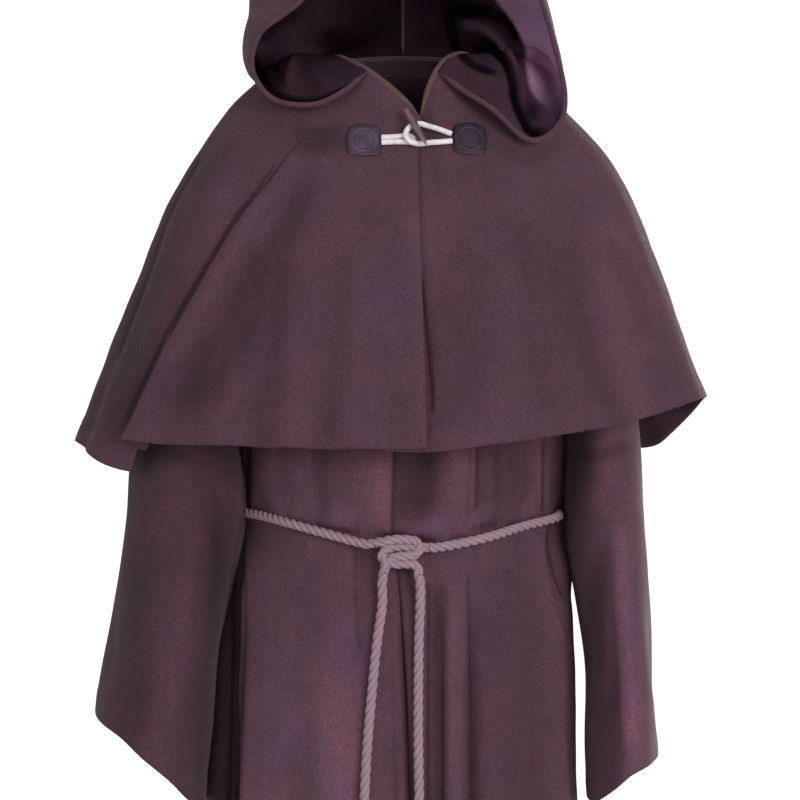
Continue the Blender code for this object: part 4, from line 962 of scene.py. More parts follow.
def cape_cloth(part):
    """One panel of the cape, from the neckline to the hem."""
    fronts = part != "back"
    columns, count = (CAPE_FRONT_COLUMNS, CAPE_FRONT_ROWS) if fronts else (CAPE_BACK_COLUMNS, CAPE_BACK_ROWS)
    rows, behind = [], []
    for j in range(count + 1):
        share = j / count
        angle = cape_angles(part, share, columns)
        point = cape_point(angle, share, step_slide(angle, share) if part == "right" else 0.0)
        outward = outward_at(np.radians(angle), 0.6)
        if part == "left":
            point = raised(point, outward, left_front_lift(angle, share))
        if part == "right":
            lift = CAPE_EDGE_LIFT * bump(angle - cape_edge_angle(share), 2.2) * bump(share - 0.78, 0.20)
            point = raised(point, outward, lift + step_roll(angle, share))
        behind.append(ease(0.5 - step_away(angle, share)))
        rows.append(point)
    points = np.array(rows)
    outward = -across_surface(points)
    side, drop = side_and_drop(points)
    share = np.linspace(0, 1, count + 1)[:, None]
    height = np.zeros(side.shape)
    if fronts:
        facing = ease(np.abs(outward[..., 1]) / 0.5)
        for fold in CAPE_FRONT_FOLDS:
            height += fold_height(fold, side, drop) * facing
    height += unevenness(points * (1, 1, 0.5), size=0.10, height=0.0012, seed=31) * ease(share / 0.3)
    height += unevenness(points, size=0.045, height=0.0004, seed=32)
    from_hem = np.linalg.norm(points[-1] - points, axis=-1)
    height += hem_band(from_hem)
    if part == "right":
        height += hem_band(np.linalg.norm(points[:, -1:] - points, axis=-1)) * 0.8
    lines = {"right": CAPE_RIGHT_LINES, "left": CAPE_LEFT_LINES, "back": []}[part]
    depth, lightness = draped(points, outward, lines, CAPE_LIGHT)
    height += depth
    if part == "right":
        # Painted shade in the recess beside the long fold's rolled edge.
        lightness *= 1 - LONG_FOLD_LINE.dark * near_line(*as_seen(points), LONG_FOLD_LINE) * np.array(behind)
    return raised(points, outward, height * ease(share / 0.08)), height, lightness


# Hood


def hood_ring_point(row, seam, side, run):
    """Points on one row, from the rim, run 0, to the seam, run 1."""
    rim_side = max(float(row.rim_side), 0.0)
    widest = max(float(row.widest), rim_side, 1e-6)
    start = -math.acos(min(rim_side / widest, 1.0))
    turn = mix(start, math.pi / 2, run)
    half_depth = (seam.back + row.rim_forward) / (1 - math.sin(start))
    y = seam.back - half_depth * (1 - np.sin(turn))
    end_drop = np.where(run < 0.5, row.rim_drop, seam.back_drop)
    toward_end = np.where(run < 0.5, (1 - 2 * run) ** 2, ease(2 * run - 1))
    drop = mix(row.side_drop, end_drop, toward_end)
    return np.stack([side * (widest * np.cos(turn) + SEAM_GAP), y, -drop], -1)


def hood_seat(side, run):
    """The hood's seam on the cape's neckline, raised clear of the cape's wall."""
    angle = side * mix(HOOD_START_ANGLE, 180, run)
    edge = cape_point(angle, 0)
    down = cape_point(angle, 0.03) - edge
    turn = np.radians(angle)
    along = np.stack([np.cos(turn), np.sin(turn), 0 * turn], -1)
    return edge + unit(np.cross(down, along)) * (2 * CLOTH + 3 * SEAM_GAP)


def hood_cloth(table, side, lines):
    """Half of the hood, from the crown down to the neckline, and how light its inside is painted: painted shade
    inside the hood, painted light on the left hood's turned rim.
    """
    places = [seam.share for seam in HOOD_SEAM]
    run = np.linspace(0, 1, HOOD_COLUMNS + 1) ** 1.15
    shift = hood_seat(side, run) - hood_ring_point(table[0], HOOD_SEAM[0], side, run)
    rows = []
    for j in range(HOOD_ROWS + 1):
        place = (1 - j / HOOD_ROWS) ** 1.1
        row = HoodRow(*[curve_through(places, column, place) for column in zip(*table)])
        seam = read_table(HOOD_SEAM, "share", place)
        seated = (1 - clamp(place / places[2])) ** 2
        rows.append(hood_ring_point(row, seam, side, run) + shift * seated)
    points = np.array(rows)
    outward = -side * across_surface(points)
    place = ((1 - np.arange(HOOD_ROWS + 1) / HOOD_ROWS) ** 1.1)[:, None]
    fall, lightness = draped(points, -outward, lines, HOOD_INSIDE_SHADE[side])
    across, down = as_seen(points)
    # Painted light where the left hood's rim turns its outer face forward, fading to painted shade lower down.
    if side > 0:
        stops_down, stops_across = zip(*LEFT_RIM_TURN)
        turned = across - curve_through(stops_down, stops_across, np.clip(down, 0, stops_down[-1]))
        lightness = mix(lightness, mix(*HOOD_TURN_LIGHT, ease((down - 55) / 65)), ease(turned / 5))
    else:
        # Painted shade on the right hood's upper inside.
        lightness *= mix(HOOD_UPPER_LIGHT, 1.0, ease((down - 22) / 34))
    # Painted shade deep in the hood, near its middle.
    deep = ease((points[..., 1] + 0.01) / 0.10) * ease((0.10 - np.abs(points[..., 0])) / 0.05)
    lightness *= mix(1.0, 0.6, deep)
    waves = unevenness(points, size=0.07, height=0.0018, seed=41 + side)
    height = waves * ease(place / 0.12) - fall
    height *= ease(place / 0.06) * ease((1 - place) / 0.05) * ease((1 - run) / 0.05) * ease(run / 0.02)
    return raised(points, outward, height), height, lightness


# Toggle fastening

# How many times a place on the cape is looked for between two others
HALVINGS = 30


def place_on_cape(side, drop):
    """The angles and shares of the cape's places at distances to the side and drops."""
    low = np.zeros(side.shape)
    high = np.full(side.shape, 0.7)
    reference = np.where(side > 0, 90.0, -90.0)
    angle = np.zeros(side.shape)
    for _ in range(HALVINGS):
        share = (low + high) / 2
        half_width = np.maximum(np.abs(cape_point(reference, share)[..., 0]), 0.01)
        angle = np.degrees(np.arcsin(np.clip(side / half_width, -1, 1)))
        under = -cape_point(angle, share)[..., 2] < drop
        low = np.where(under, share, low)
        high = np.where(under, high, share)
    return angle, share


def cape_surface(side, drop, out):
    """Points standing out from the cape's inner face, at distances to the side and drops."""
    side, drop, out = (np.atleast_1d(np.asarray(value, float)) for value in (side, drop, out))
    angle, share = place_on_cape(side, drop)
    here = cape_point(angle, share)
    down = cape_point(angle, share + 0.02) - here
    along = cape_point(angle + 1, share) - here
    return raised(here, unit(np.cross(down, along)), out)


# The cords lie in two layers on the cape, and the toggle over them
CordStop = namedtuple("CordStop", "side drop out")
FIRST_LAYER = CLOTH + SEAM_GAP + CORD_DIAMETER / 2 + CORD_STAND
SECOND_LAYER = FIRST_LAYER + CORD_DIAMETER + SEAM_GAP
TOGGLE_LAYER = SECOND_LAYER + CORD_DIAMETER / 2 + TOGGLE_STAND
RISING = FIRST_LAYER + 0.002
TOGGLE_CORD = [CordStop(side, drop, FIRST_LAYER) for side, drop in (
    (-0.0222, 0.0962), (-0.01, 0.0956), (0.001, 0.0948), (0.008, 0.0952), (0.0112, 0.0984), (0.008, 0.1016),
    (0.001, 0.1012), (-0.01, 0.1012), (-0.0222, 0.1018),
)]
LOOP_CORD = rows_of(CordStop, [
    (0.0498, 0.093, FIRST_LAYER), (0.04, 0.09, RISING), (0.028, 0.0865, SECOND_LAYER),
    (0.016, 0.085, SECOND_LAYER), (0.0065, 0.088, SECOND_LAYER), (0.003, 0.096, SECOND_LAYER),
    (0.0075, 0.104, SECOND_LAYER), (0.017, 0.106, SECOND_LAYER), (0.029, 0.1045, SECOND_LAYER),
    (0.04, 0.1025, RISING), (0.0498, 0.1005, FIRST_LAYER),
])
TOGGLE_TOP = CordStop(0.0000, 0.0700, TOGGLE_LAYER)
TOGGLE_TIP = CordStop(0.0243, 0.1110, TOGGLE_LAYER)

# Half the toggle's profile: the share of its length from the top end, and its radius
TurnedRing = namedtuple("TurnedRing", "share radius")
TOGGLE_PROFILE = rows_of(TurnedRing, [
    (0, 0), (0.02, 0.0017), (0.08, 0.0026), (0.25, 0.0034), (0.45, 0.0037), (0.65, 0.0033), (0.82, 0.0024),
    (0.94, 0.0014), (0.99, 0.0007), (1, 0),
])


# Rope belt


def rope_point(angle, robe):
    """The belt rope's centre line, lying on the robe's cloth."""
    route = []
    for one in angle:
        point, outward = robe_point(one, belt_drop(one), folds=False)
        away = robe - point
        rise = away @ outward
        beside = np.linalg.norm(away - rise[:, None] * outward, axis=1) < ROPE_DIAMETER
        near = beside & (np.abs(rise) < ROPE_MOST_RISE)
        rest = max(rise[near].max(initial=0.0) - ROPE_SINK, ROPE_CLEARANCE)
        route.append(Vector(point + outward * (CLOTH + rest + ROPE_DIAMETER / 2)))
    return route


KnotStop = namedtuple("KnotStop", "side out rise")
KNOT_FROM_RIGHT = rows_of(KnotStop, [
    (-0.0265, -0.003, 0.0085), (-0.018, 0.001, 0.01), (-0.008, 0.003, 0.012), (0.004, 0.002, 0.012),
    (0.0145, 0, 0.01), (0.019, 0, 0.004), (0.0145, 0.001, -0.003), (0.003, 0.003, -0.0045),
    (-0.008, 0.002, -0.006), (-0.015, 0.001, -0.012), (-0.0172, 0, -0.021),
])
KNOT_FROM_LEFT = rows_of(KnotStop, [
    (0.0265, -0.007, 0.0035), (0.018, -0.003, 0.004), (0.007, -0.002, 0.0045), (-0.005, -0.001, 0.0045),
    (-0.015, 0, 0.002), (-0.019, 0.001, -0.0045), (-0.014, 0.001, -0.011), (-0.003, 0.001, -0.0125),
    (0.008, 0.001, -0.0125), (0.016, 0, -0.015), (0.018, 0, -0.0235),
])
KNOT_STEPS = 16


def knot_route(stops):
    return [KNOT_CENTRE + Vector((stop.side, -stop.out, stop.rise)) for stop in stops]


def past_knot(stops):
    """The first two points of a rope that goes on from the start of a strand of the knot."""
    end, inner = even_points(knot_route(stops), KNOT_STEPS)[:2]
    onward = (end - inner).normalized()
    return [end + onward * KNOT_GAP, end + onward * ROPE_DIAMETER]


def waist_route(robe):
    """From the knot round the wearer's right side and the back to the knot again."""
    angles = [*range(-24, -336, -20), -336]
    return past_knot(KNOT_FROM_RIGHT) + rope_point(angles, robe) + past_knot(KNOT_FROM_LEFT)[::-1]


TailStop = namedtuple("TailStop", "side drop")
RIGHT_TAIL = rows_of(TailStop, [
    (-0.0208, 0.57), (-0.0262, 0.61), (-0.0318, 0.665), (-0.037, 0.73), (-0.0396, 0.8), (-0.0396, 0.9),
    (-0.0364, 1), (-0.035, TAIL_END_DROP),
])
LEFT_TAIL = rows_of(TailStop, [
    (0.0175, 0.572), (0.0161, 0.61), (0.0155, 0.7), (0.0171, 0.8), (0.02, 0.9), (0.0235, 1),
    (0.0245, TAIL_END_DROP),
])


def even_points(route, count):
    """Points at even steps along a smooth curve through a route."""
    places = [0.0]
    for a, b in zip(route, route[1:]):
        places.append(places[-1] + (Vector(b) - Vector(a)).length)
    values = np.array([tuple(point) for point in route])
    return [Vector(curve_through(places, values, places[-1] * i / count)) for i in range(count + 1)]


def skirt_forward(front, side, drop):
    """How far forward the skirt's cloth reaches at a place."""
    near = (np.abs(front[..., 0] - side) < SKIRT_BESIDE) & (np.abs(front[..., 2] + drop) < SKIRT_ABOVE)
    return float(-front[near][:, 1].min())


def tail_route(front, stops, strand):
    """A tail hanging from the knot, resting on the skirt, with room for the knot at its end."""
    route = past_knot(strand[::-1])
    start = route[-1]
    for stop in stops:
        near_end = float(ease((stop.drop - TAIL_END_DROP + TAIL_END_REACH) / TAIL_END_REACH))
        room = mix(ROPE_DIAMETER / 2, ROPE_END_RADIUS, near_end)
        hang = skirt_forward(front, stop.side, stop.drop + ROPE_END_LENGTH * near_end) + CLOTH + room
        y = mix(start.y, -hang, float(ease((stop.drop + start.z) / 0.10)))
        route.append(Vector((stop.side, y, -stop.drop)))
    return route


# Makers of objects


def add_object(name, mesh, finish):
    made = bpy.data.objects.new(name, mesh)
    bpy.context.scene.collection.objects.link(made)
    if finish:
        mesh.materials.append(finish)
    return made


def settle(piece, slot, *nodes):
    """The piece rides on the part and stands for the nodes, which it hides; the slot is not used."""
    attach(piece, "root")
    if nodes:
        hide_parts(*nodes)
    return piece


def lengths_along(points, axis):
    """How far along the cloth each point of a grid lies from its first row or column."""
    steps = np.linalg.norm(np.diff(points, axis=axis), axis=-1)
    return np.concatenate([np.zeros_like(np.take(steps, [0], axis)), np.cumsum(steps, axis)], axis)


def numbered(points, first=0):
    """A grid of the points' numbers."""
    rows, columns = points.shape[:2]
    return first + np.arange(rows * columns).reshape(rows, columns)


def closed_ring(grid):
    """A grid with its first column once more at its end."""
    return np.concatenate([grid, grid[:, :1]], axis=1)


def cell_corners(grid, order=(0, 1, 2, 3)):
    """The four corners of each cell of a grid, in the order of a face."""
    corners = [grid[:-1, :-1], grid[1:, :-1], grid[1:, 1:], grid[:-1, 1:]]
    return np.stack([corners[k] for k in order], 2)


def mark(mesh, name, values):
    mesh.attributes.new(name, "FLOAT", "POINT").data.foreach_set("value", values.ravel())


def panel(
    name, points, height, lightness, finish, ring=False, flip=False, thickness=CLOTH, inside=None, shaded_inside=None
):
    """A panel of cloth through a grid of points, its wall on the outer side, with its creases marked and the
    painted light and shade of its faces.
    """
    order = (3, 2, 1, 0) if flip else (0, 1, 2, 3)
    index = closed_ring(numbered(points)) if ring else numbered(points)
    mesh = bpy.data.meshes.new(name)
    mesh.from_pydata(points.reshape(-1, 3).tolist(), [], cell_corners(index, order).reshape(-1, 4).tolist())
    mark(mesh, "crease", height)
    mark(mesh, "lightness", lightness)
    if inside:
        mark(mesh, "shaded_inside", shaded_inside)
    closed = closed_ring(points) if ring else points
    across = lengths_along(closed, 1)
    across = across - across[:, points.shape[1] // 2, None]
    place = np.stack([across, lengths_along(closed, 0)], -1)
    mesh.uv_layers.new(name="cloth").data.foreach_set("uv", cell_corners(place, order).reshape(-1))
    mesh.shade_smooth()
    made = add_object(name, mesh, finish)
    wall = made.modifiers.new("Wall", "SOLIDIFY")
    wall.thickness = thickness
    wall.offset = 1
    if inside:
        mesh.materials.append(inside)
        wall.material_offset = 1
    return made


# A direction that no path here follows
ANY_WAY = (0.31, 0.83, 0.46)


def path_frames(points, sideways=None):
    """Even directions across and out of a path, with no twist."""
    along = unit(np.gradient(points, axis=0))
    start = np.array(sideways or ANY_WAY)
    across = np.zeros_like(points)
    for i, direction in enumerate(along):
        start = start - direction * (start @ direction)
        start = start / np.linalg.norm(start)
        across[i] = start
    return across, np.cross(along, across)


def smooth_path(route, step):
    """Points a step apart along the smooth curve through a route."""
    route = [Vector(point) for point in route]
    length = sum((b - a).length for a, b in zip(route, route[1:]))
    return np.array([tuple(p) for p in even_points(route, max(int(length / step), 4))])


# The order of a tube's corners, and how a rope's strands share its radius
TUBE_ORDER = (0, 3, 2, 1)
STRANDS = 3
STRAND_REACH = 0.49
STRAND_RADIUS = 0.53


class MeshParts:
    """Tubes gathered into one mesh, with a place along and round each for its pattern."""

    def __init__(self):
        self.points, self.faces, self.places, self.count = [], [], [], 0

    def tube(self, path, radius, sides, sideways=None):
        """A closed tube along a path. Its radius may change along it."""
        across, out = path_frames(path, sideways)
        turn = np.linspace(0, 2 * math.pi, sides, endpoint=False)
        radius = np.broadcast_to(radius, (len(path),))
        ring = across[:, None] * np.cos(turn)[None, :, None] + out[:, None] * np.sin(turn)[None, :, None]
        points = path[:, None] + ring * radius[:, None, None]
        wide = closed_ring(numbered(points, self.count))
        first = self.count + points.shape[0] * sides
        last = first + 1
        ends = [(first, wide[0, i + 1], wide[0, i]) for i in range(sides)]
        ends += [(last, wide[-1, i], wide[-1, i + 1]) for i in range(sides)]
        down = np.broadcast_to(lengths_along(path[None], 1)[0][:, None], wide.shape)
        place = np.stack([np.broadcast_to(np.linspace(0, 1, sides + 1), wide.shape), down], -1)
        self.places += cell_corners(place, TUBE_ORDER).reshape(-1, 2).tolist()
        self.places += [(0.5, 0.0)] * 3 * len(ends)
        self.points += points.reshape(-1, 3).tolist() + [path[0].tolist(), path[-1].tolist()]
        self.faces += cell_corners(wide, TUBE_ORDER).reshape(-1, 4).tolist()
        self.faces += [tuple(int(k) for k in end) for end in ends]
        self.count = len(self.points)

    def rope(self, path, radius, pitch, sides=10):
        """A laid rope along a path: three strands wound round each other, once in each pitch."""
        across, out = path_frames(path)
        distance = lengths_along(path[None], 1)[0]
        for strand in range(STRANDS):
            turn = 2 * math.pi * (strand / STRANDS + distance / pitch)
            way = across * np.cos(turn)[:, None] + out * np.sin(turn)[:, None]
            self.tube(path + way * radius * STRAND_REACH, np.full(len(path), radius * STRAND_RADIUS), sides)

    def finished(self, name, finish):
        mesh = bpy.data.meshes.new(name)
        mesh.from_pydata(self.points, [], self.faces)
        # The cape's painted lightness, which the wool of the rolled edges and seams reads.
        mark(mesh, "lightness", np.full(len(self.points), CAPE_LIGHT))
        mesh.uv_layers.new(name="cord").data.foreach_set("uv", np.array(self.places).reshape(-1))
        mesh.shade_smooth()
        return add_object(name, mesh, finish)


def as_plain_mesh(made, name, finish):
    """The evaluated form of an object as a plain mesh, which takes its place."""
    bpy.context.view_layer.update()
    graph = bpy.context.evaluated_depsgraph_get()
    mesh = bpy.data.meshes.new_from_object(made.evaluated_get(graph))
    bpy.data.objects.remove(made)
    mesh.name = name
    mesh.materials.clear()
    return add_object(name, mesh, finish)


# Materials


class Value:
    """A socket of a finish's tree, which adds Math nodes as it is worked with."""

    def __init__(self, finish, socket):
        self.finish = finish
        self.socket = socket

    def maths(self, operation, *others):
        node = self.finish.add("ShaderNodeMath", {"operation": operation})
        for place, value in zip(node.inputs, (self, *others)):
            self.finish.feed(place, value)
        return Value(self.finish, node.outputs[0])

    def __add__(self, other):
        return self.maths("ADD", other)

    def __mul__(self, other):
        return self.maths("MULTIPLY", other)

    def __sub__(self, other):
        return self.maths("SUBTRACT", other)

    def __rsub__(self, other):
        return self * -1.0 + other

    __radd__ = __add__
    __rmul__ = __mul__

    def between(self, low, high):
        """0 at low and 1 at high, with a soft step from one to the other."""
        sockets = {"Value": self, "From Min": low, "From Max": high}
        node = self.finish.add("ShaderNodeMapRange", {"interpolation_type": "SMOOTHSTEP"}, sockets)
        return Value(self.finish, node.outputs[0])


class Finish:
    """A material in the making."""

    def __init__(self, name, **constants):
        self.material = bpy.data.materials.new(name)
        self.material.use_nodes = True
        self.tree = self.material.node_tree
        self.shader = self.tree.nodes["Principled BSDF"]
        for socket, value in constants.items():
            self.shader.inputs[socket.replace("_", " ")].default_value = value
        self.here = Value(self, self.add("ShaderNodeTexCoord").outputs["Object"])

    def feed(self, place, value):
        """A value or a link for a socket."""
        if isinstance(value, Value):
            self.tree.links.new(value.socket, place)
        elif isinstance(value, tuple) and len(value) == 3 and place.type == "RGBA":
            place.default_value = (*value, 1)
        else:
            place.default_value = value

    def add(self, kind, settings=None, sockets=None):
        """A node of a kind: its settings come first, then the values or links of its sockets."""
        node = self.tree.nodes.new(kind)
        for name, value in (settings or {}).items():
            setattr(node, name, value)
        for name, value in (sockets or {}).items():
            place = next(s for s in node.inputs if name in (s.identifier, s.name))
            self.feed(place, value)
        return node

    def attribute(self, name):
        return Value(self, self.add("ShaderNodeAttribute", {"attribute_name": name}).outputs["Fac"])

    def pattern_place(self, name):
        """The two parts of a piece's own pattern map."""
        node = self.add("ShaderNodeUVMap", {"uv_map": name})
        parts = self.add("ShaderNodeSeparateXYZ", None, {"Vector": Value(self, node.outputs[0])})
        return Value(self, parts.outputs[0]), Value(self, parts.outputs[1])

    def stretched(self, scale):
        """Object coordinates stretched along each axis."""
        node = self.add("ShaderNodeMapping", None, {"Vector": self.here, "Scale": scale})
        return Value(self, node.outputs[0])

    def noise(self, scale, detail=2.0, roughness=0.5, place=None):
        sockets = {"Vector": place or self.here, "Scale": scale, "Detail": detail, "Roughness": roughness}
        return Value(self, self.add("ShaderNodeTexNoise", None, sockets).outputs[0])

    def cells(self, scale):
        node = self.add("ShaderNodeTexVoronoi", None, {"Vector": self.here, "Scale": scale})
        return Value(self, node.outputs["Distance"])

    def blend(self, share, first, second):
        """A colour between two."""
        sockets = {"Factor_Float": share, "A_Color": first, "B_Color": second}
        node = self.add("ShaderNodeMix", {"data_type": "RGBA"}, sockets)
        return Value(self, next(s for s in node.outputs if s.identifier == "Result_Color"))

    def shaded(self, colour, light):
        """A colour made lighter or darker by a value round 1."""
        node = self.add("ShaderNodeVectorMath", {"operation": "SCALE"}, {"Vector": colour, "Scale": light})
        return Value(self, node.outputs[0])

    def relief(self, height, depth, strength):
        sockets = {"Height": height, "Distance": depth, "Strength": strength}
        return Value(self, self.add("ShaderNodeBump", None, sockets).outputs[0])

    def done(self, colour, normal, roughness=None):
        self.feed(self.shader.inputs["Base Color"], colour)
        self.feed(self.shader.inputs["Normal"], normal)
        if roughness:
            self.feed(self.shader.inputs["Roughness"], roughness)
        return self.material


# From one thread of the weave to the next
WEAVE_STEP = 0.0011


def wool(name="wool", red=(0.083, 0.0345, 0.0510), blue=(0.073, 0.0345, 0.0575), inner=False):
    """Brushed wool: mottled in two tones, with a short nap over a fine weave, with painted shade in the hollows
    of its folds, painted light on their ridges, and each piece's painted lightness.
    """
    # The hood's inside has no sheen or shine, which keeps its painted shade dark.
    sheen, shine = (0.0, 0.0) if inner else (0.13, 0.2)
    finish = Finish(name, Roughness=0.94, Sheen_Weight=sheen, Sheen_Roughness=0.5, Specular_IOR_Level=shine)
    finish.shader.inputs["Sheen Tint"].default_value = (0.80, 0.62, 0.68, 1)
    across, down = finish.pattern_place("cloth")
    thread_turns = 2 * math.pi / WEAVE_STEP
    weave = (across * thread_turns).maths("SINE") * (down * thread_turns).maths("SINE")
    patches = finish.noise(14.0, 5.0, 0.62).between(0.30, 0.70)
    clouds = finish.noise(36.0, 4.0, 0.6)
    nap = finish.noise(760.0, 1.0, 0.6)
    flecks = finish.noise(1500.0, 2.0, 0.6)
    streaks = finish.noise(1.0, 2.0, 0.6, finish.stretched((420.0, 420.0, 90.0)))
    # Painted shade and light: the cloth is darker in the hollows of its folds and lighter on their ridges, times
    # the painted lightness of its piece and lines.
    ridge = finish.attribute("crease").between(-0.013, 0.007)
    tone = finish.attribute("shaded_inside" if inner else "lightness") * (1.0 if inner else 0.42 + ridge * 0.76)
    tone = tone * (0.82 + clouds * 0.36) * (nap * 1.5 + streaks * 0.3 + flecks * 0.5 - 0.15)
    colour = finish.shaded(finish.blend(patches, red, blue), tone)
    height = nap * 0.7 + streaks * 0.3 + weave * 0.05 + flecks * 0.25
    normal = finish.relief(height, 0.0010, 0.55)
    return finish.done(colour, normal)


def rope_fibre():
    """Twisted cotton yarns, paler on the crowns of the strands as painted light, and darker between the yarns as
    painted shade.
    """
    finish = Finish("rope", Roughness=0.9, Sheen_Weight=0.15, Specular_IOR_Level=0.2)
    around, along = finish.pattern_place("cord")
    yarns = ((around * 5.0 - along * 420.0) * (2 * math.pi)).maths("SINE")
    fibres = finish.noise(1.0, 3.0, 0.6, finish.stretched((900.0, 900.0, 500.0)))
    clouds = finish.noise(60.0, 2.0)
    # Painted shade and light: the tone follows the yarns' relief, darker between them and paler on their crowns.
    tone = (0.74 + yarns * 0.10 + fibres * 0.34) * (0.88 + clouds * 0.24)
    colour = finish.blend(clouds.between(0.35, 0.65), (0.338, 0.216, 0.242), (0.289, 0.200, 0.252))
    return finish.done(finish.shaded(colour, tone), finish.relief(yarns * 0.6 + fibres * 0.6, 0.0006, 0.8))


def tanned_leather(name, deep, pale):
    """Soft plum leather with a pebbled grain, lighter where it stands higher, as on its raised ring, and darker
    in its groove and at its edge.
    """
    finish = Finish(name, Roughness=0.5, Specular_IOR_Level=0.4)
    pebbles = finish.cells(900.0)
    pores = finish.noise(1300.0, 2.0)
    clouds = finish.noise(70.0, 3.0).between(0.3, 0.7)
    raised_share = finish.attribute("crease").between(-0.0004, 0.0006)
    colour = finish.blend(clouds, deep, pale)
    colour = finish.shaded(colour, 0.62 + raised_share * 0.62 + pores * 0.2)
    rough = 0.42 + pebbles * 0.25 + pores * 0.1
    return finish.done(colour, finish.relief(pebbles + pores * 0.4, 0.0004, 0.6), rough)


def white_braid():
    """A white braided cord: two sets of yarns crossing round it."""
    finish = Finish("braid", Roughness=0.8, Sheen_Weight=0.1)
    around, along = finish.pattern_place("cord")
    ways = [((around * 6.0 + along * turns) * (2 * math.pi)).maths("SINE") for turns in (520.0, -520.0)]
    crossing = ways[0].maths("MAXIMUM", ways[1])
    soil = finish.noise(160.0, 2.0).between(0.3, 0.8)
    colour = finish.blend(soil, (0.86, 0.80, 0.82), (0.72, 0.66, 0.68))
    # Painted shade and light: the tone follows the yarns' relief, lighter on their crowns and darker between
    # them.
    colour = finish.shaded(colour, 0.86 + crossing * 0.12)
    return finish.done(colour, finish.relief(crossing, 0.0005, 0.7))


TOGGLE_MIDDLE = 0.024


def polished_horn():
    """Horn, streaked along its length, with a painted highlight that makes it paler towards its tips."""
    finish = Finish("horn", Roughness=0.32, Coat_Weight=0.3, Coat_Roughness=0.2)
    _, along = finish.pattern_place("cord")
    streaks = finish.noise(1.0, 4.0, 0.6, finish.stretched((420.0, 420.0, 60.0)))
    # Painted highlight: paler towards both tips.
    pale = (along - TOGGLE_MIDDLE).maths("ABSOLUTE").between(0.008, 0.024)
    colour = finish.blend(streaks.between(0.35, 0.65), (0.050, 0.022, 0.018), (0.150, 0.085, 0.068))
    colour = finish.blend(pale * 0.35, colour, (0.26, 0.18, 0.15))
    rough = 0.25 + streaks * 0.2
    return finish.done(colour, finish.relief(streaks, 0.0003, 0.3), rough)


def sewing_thread(name, colour):
    finish = Finish(name, Roughness=0.7)
    twist = finish.noise(2600.0, 1.0)
    return finish.done(finish.shaded(colour, 0.7 + twist * 0.6), finish.relief(twist, 0.0002, 0.5))


def studio_paper():
    finish = Finish("studio_paper", Roughness=0.95, Emission_Strength=PAPER_GLOW)
    finish.shader.inputs["Emission Color"].default_value = (1, 1, 1, 1)
    speckle = finish.noise(40.0, 2.0)
    colour = finish.shaded((0.93, 0.93, 0.93), 0.985 + speckle * 0.03)
    return finish.done(colour, finish.relief(speckle, 0.001, 0.1))


# Stitches

# How stitches thin towards their ends, and how high they lie
STITCH_TAPER = 2.4
STITCH_LIFT = 0.00015
Stitch = namedtuple("Stitch", "spacing length radius")
PATCH_STITCH = Stitch(0.0031, 0.0021, 0.0003)
HEM_STITCH = Stitch(0.0052, 0.0026, 0.00028)


def stitch_tree():
    """Geometry nodes that lay short rounded stitches along a line."""
    tree = bpy.data.node_groups.new("stitches", "GeometryNodeTree")
    face = tree.interface
    face.new_socket("Line", in_out="INPUT", socket_type="NodeSocketGeometry")
    for name in ("Spacing", "Stitch length", "Thread radius"):
        face.new_socket(name, in_out="INPUT", socket_type="NodeSocketFloat")
    face.new_socket("Thread", in_out="INPUT", socket_type="NodeSocketMaterial")
    face.new_socket("Stitches", in_out="OUTPUT", socket_type="NodeSocketGeometry")

    def feed(place, value):
        if isinstance(value, bpy.types.NodeSocket):
            tree.links.new(value, place)
        else:
            place.default_value = value

    def add(kind, settings=None, **sockets):
        node = tree.nodes.new(kind)
        for name, value in (settings or {}).items():
            setattr(node, name, value)
        for name, value in sockets.items():
            feed(next(s for s in node.inputs if s.name == name.replace("_", " ") and s.enabled), value)
        return node

    def maths(operation, *values):
        node = add("ShaderNodeMath", {"operation": operation})
        for place, value in zip(node.inputs, values):
            feed(place, value)
        return node.outputs[0]

    given = add("NodeGroupInput").outputs
    spaced = add("GeometryNodeMeshToCurve", Mesh=given["Line"]).outputs[0]
    spaced = add("GeometryNodeResampleCurve", {"mode": "LENGTH"}, Curve=spaced, Length=given["Spacing"])
    half = maths("MULTIPLY", given["Stitch length"], 0.5)
    start = add("ShaderNodeCombineXYZ", X=maths("MULTIPLY", half, -1.0))
    end = add("ShaderNodeCombineXYZ", X=half)
    line = add("GeometryNodeCurvePrimitiveLine", Start=start.outputs[0], End=end.outputs[0])
    line = add("GeometryNodeResampleCurve", Curve=line.outputs[0], Count=5)
    inward = maths("SUBTRACT", add("GeometryNodeSplineParameter").outputs["Factor"], 0.5)
    taper = maths("MULTIPLY_ADD", maths("MULTIPLY", inward, inward), -STITCH_TAPER, 1.0)
    width = maths("MULTIPLY", taper, given["Thread radius"])
    line = add("GeometryNodeSetCurveRadius", Curve=line.outputs[0], Radius=width)
    section = add("GeometryNodeCurvePrimitiveCircle", Resolution=6, Radius=1.0)
    ends = {"Profile_Curve": section.outputs[0], "Fill_Caps": True, "Scale": width}
    stitch = add("GeometryNodeCurveToMesh", Curve=line.outputs[0], **ends)
    tangent = add("GeometryNodeInputTangent").outputs[0]
    turn = add("FunctionNodeAlignRotationToVector", {"axis": "X"}, Vector=tangent)
    laid = add("GeometryNodeInstanceOnPoints", Points=spaced.outputs[0], Instance=stitch.outputs[0])
    feed(laid.inputs["Rotation"], turn.outputs[0])
    real = add("GeometryNodeRealizeInstances", Geometry=laid.outputs[0])
    finished = add("GeometryNodeSetMaterial", Geometry=real.outputs[0], Material=given["Thread"])
    add("NodeGroupOutput", Stitches=finished.outputs[0])
    return tree


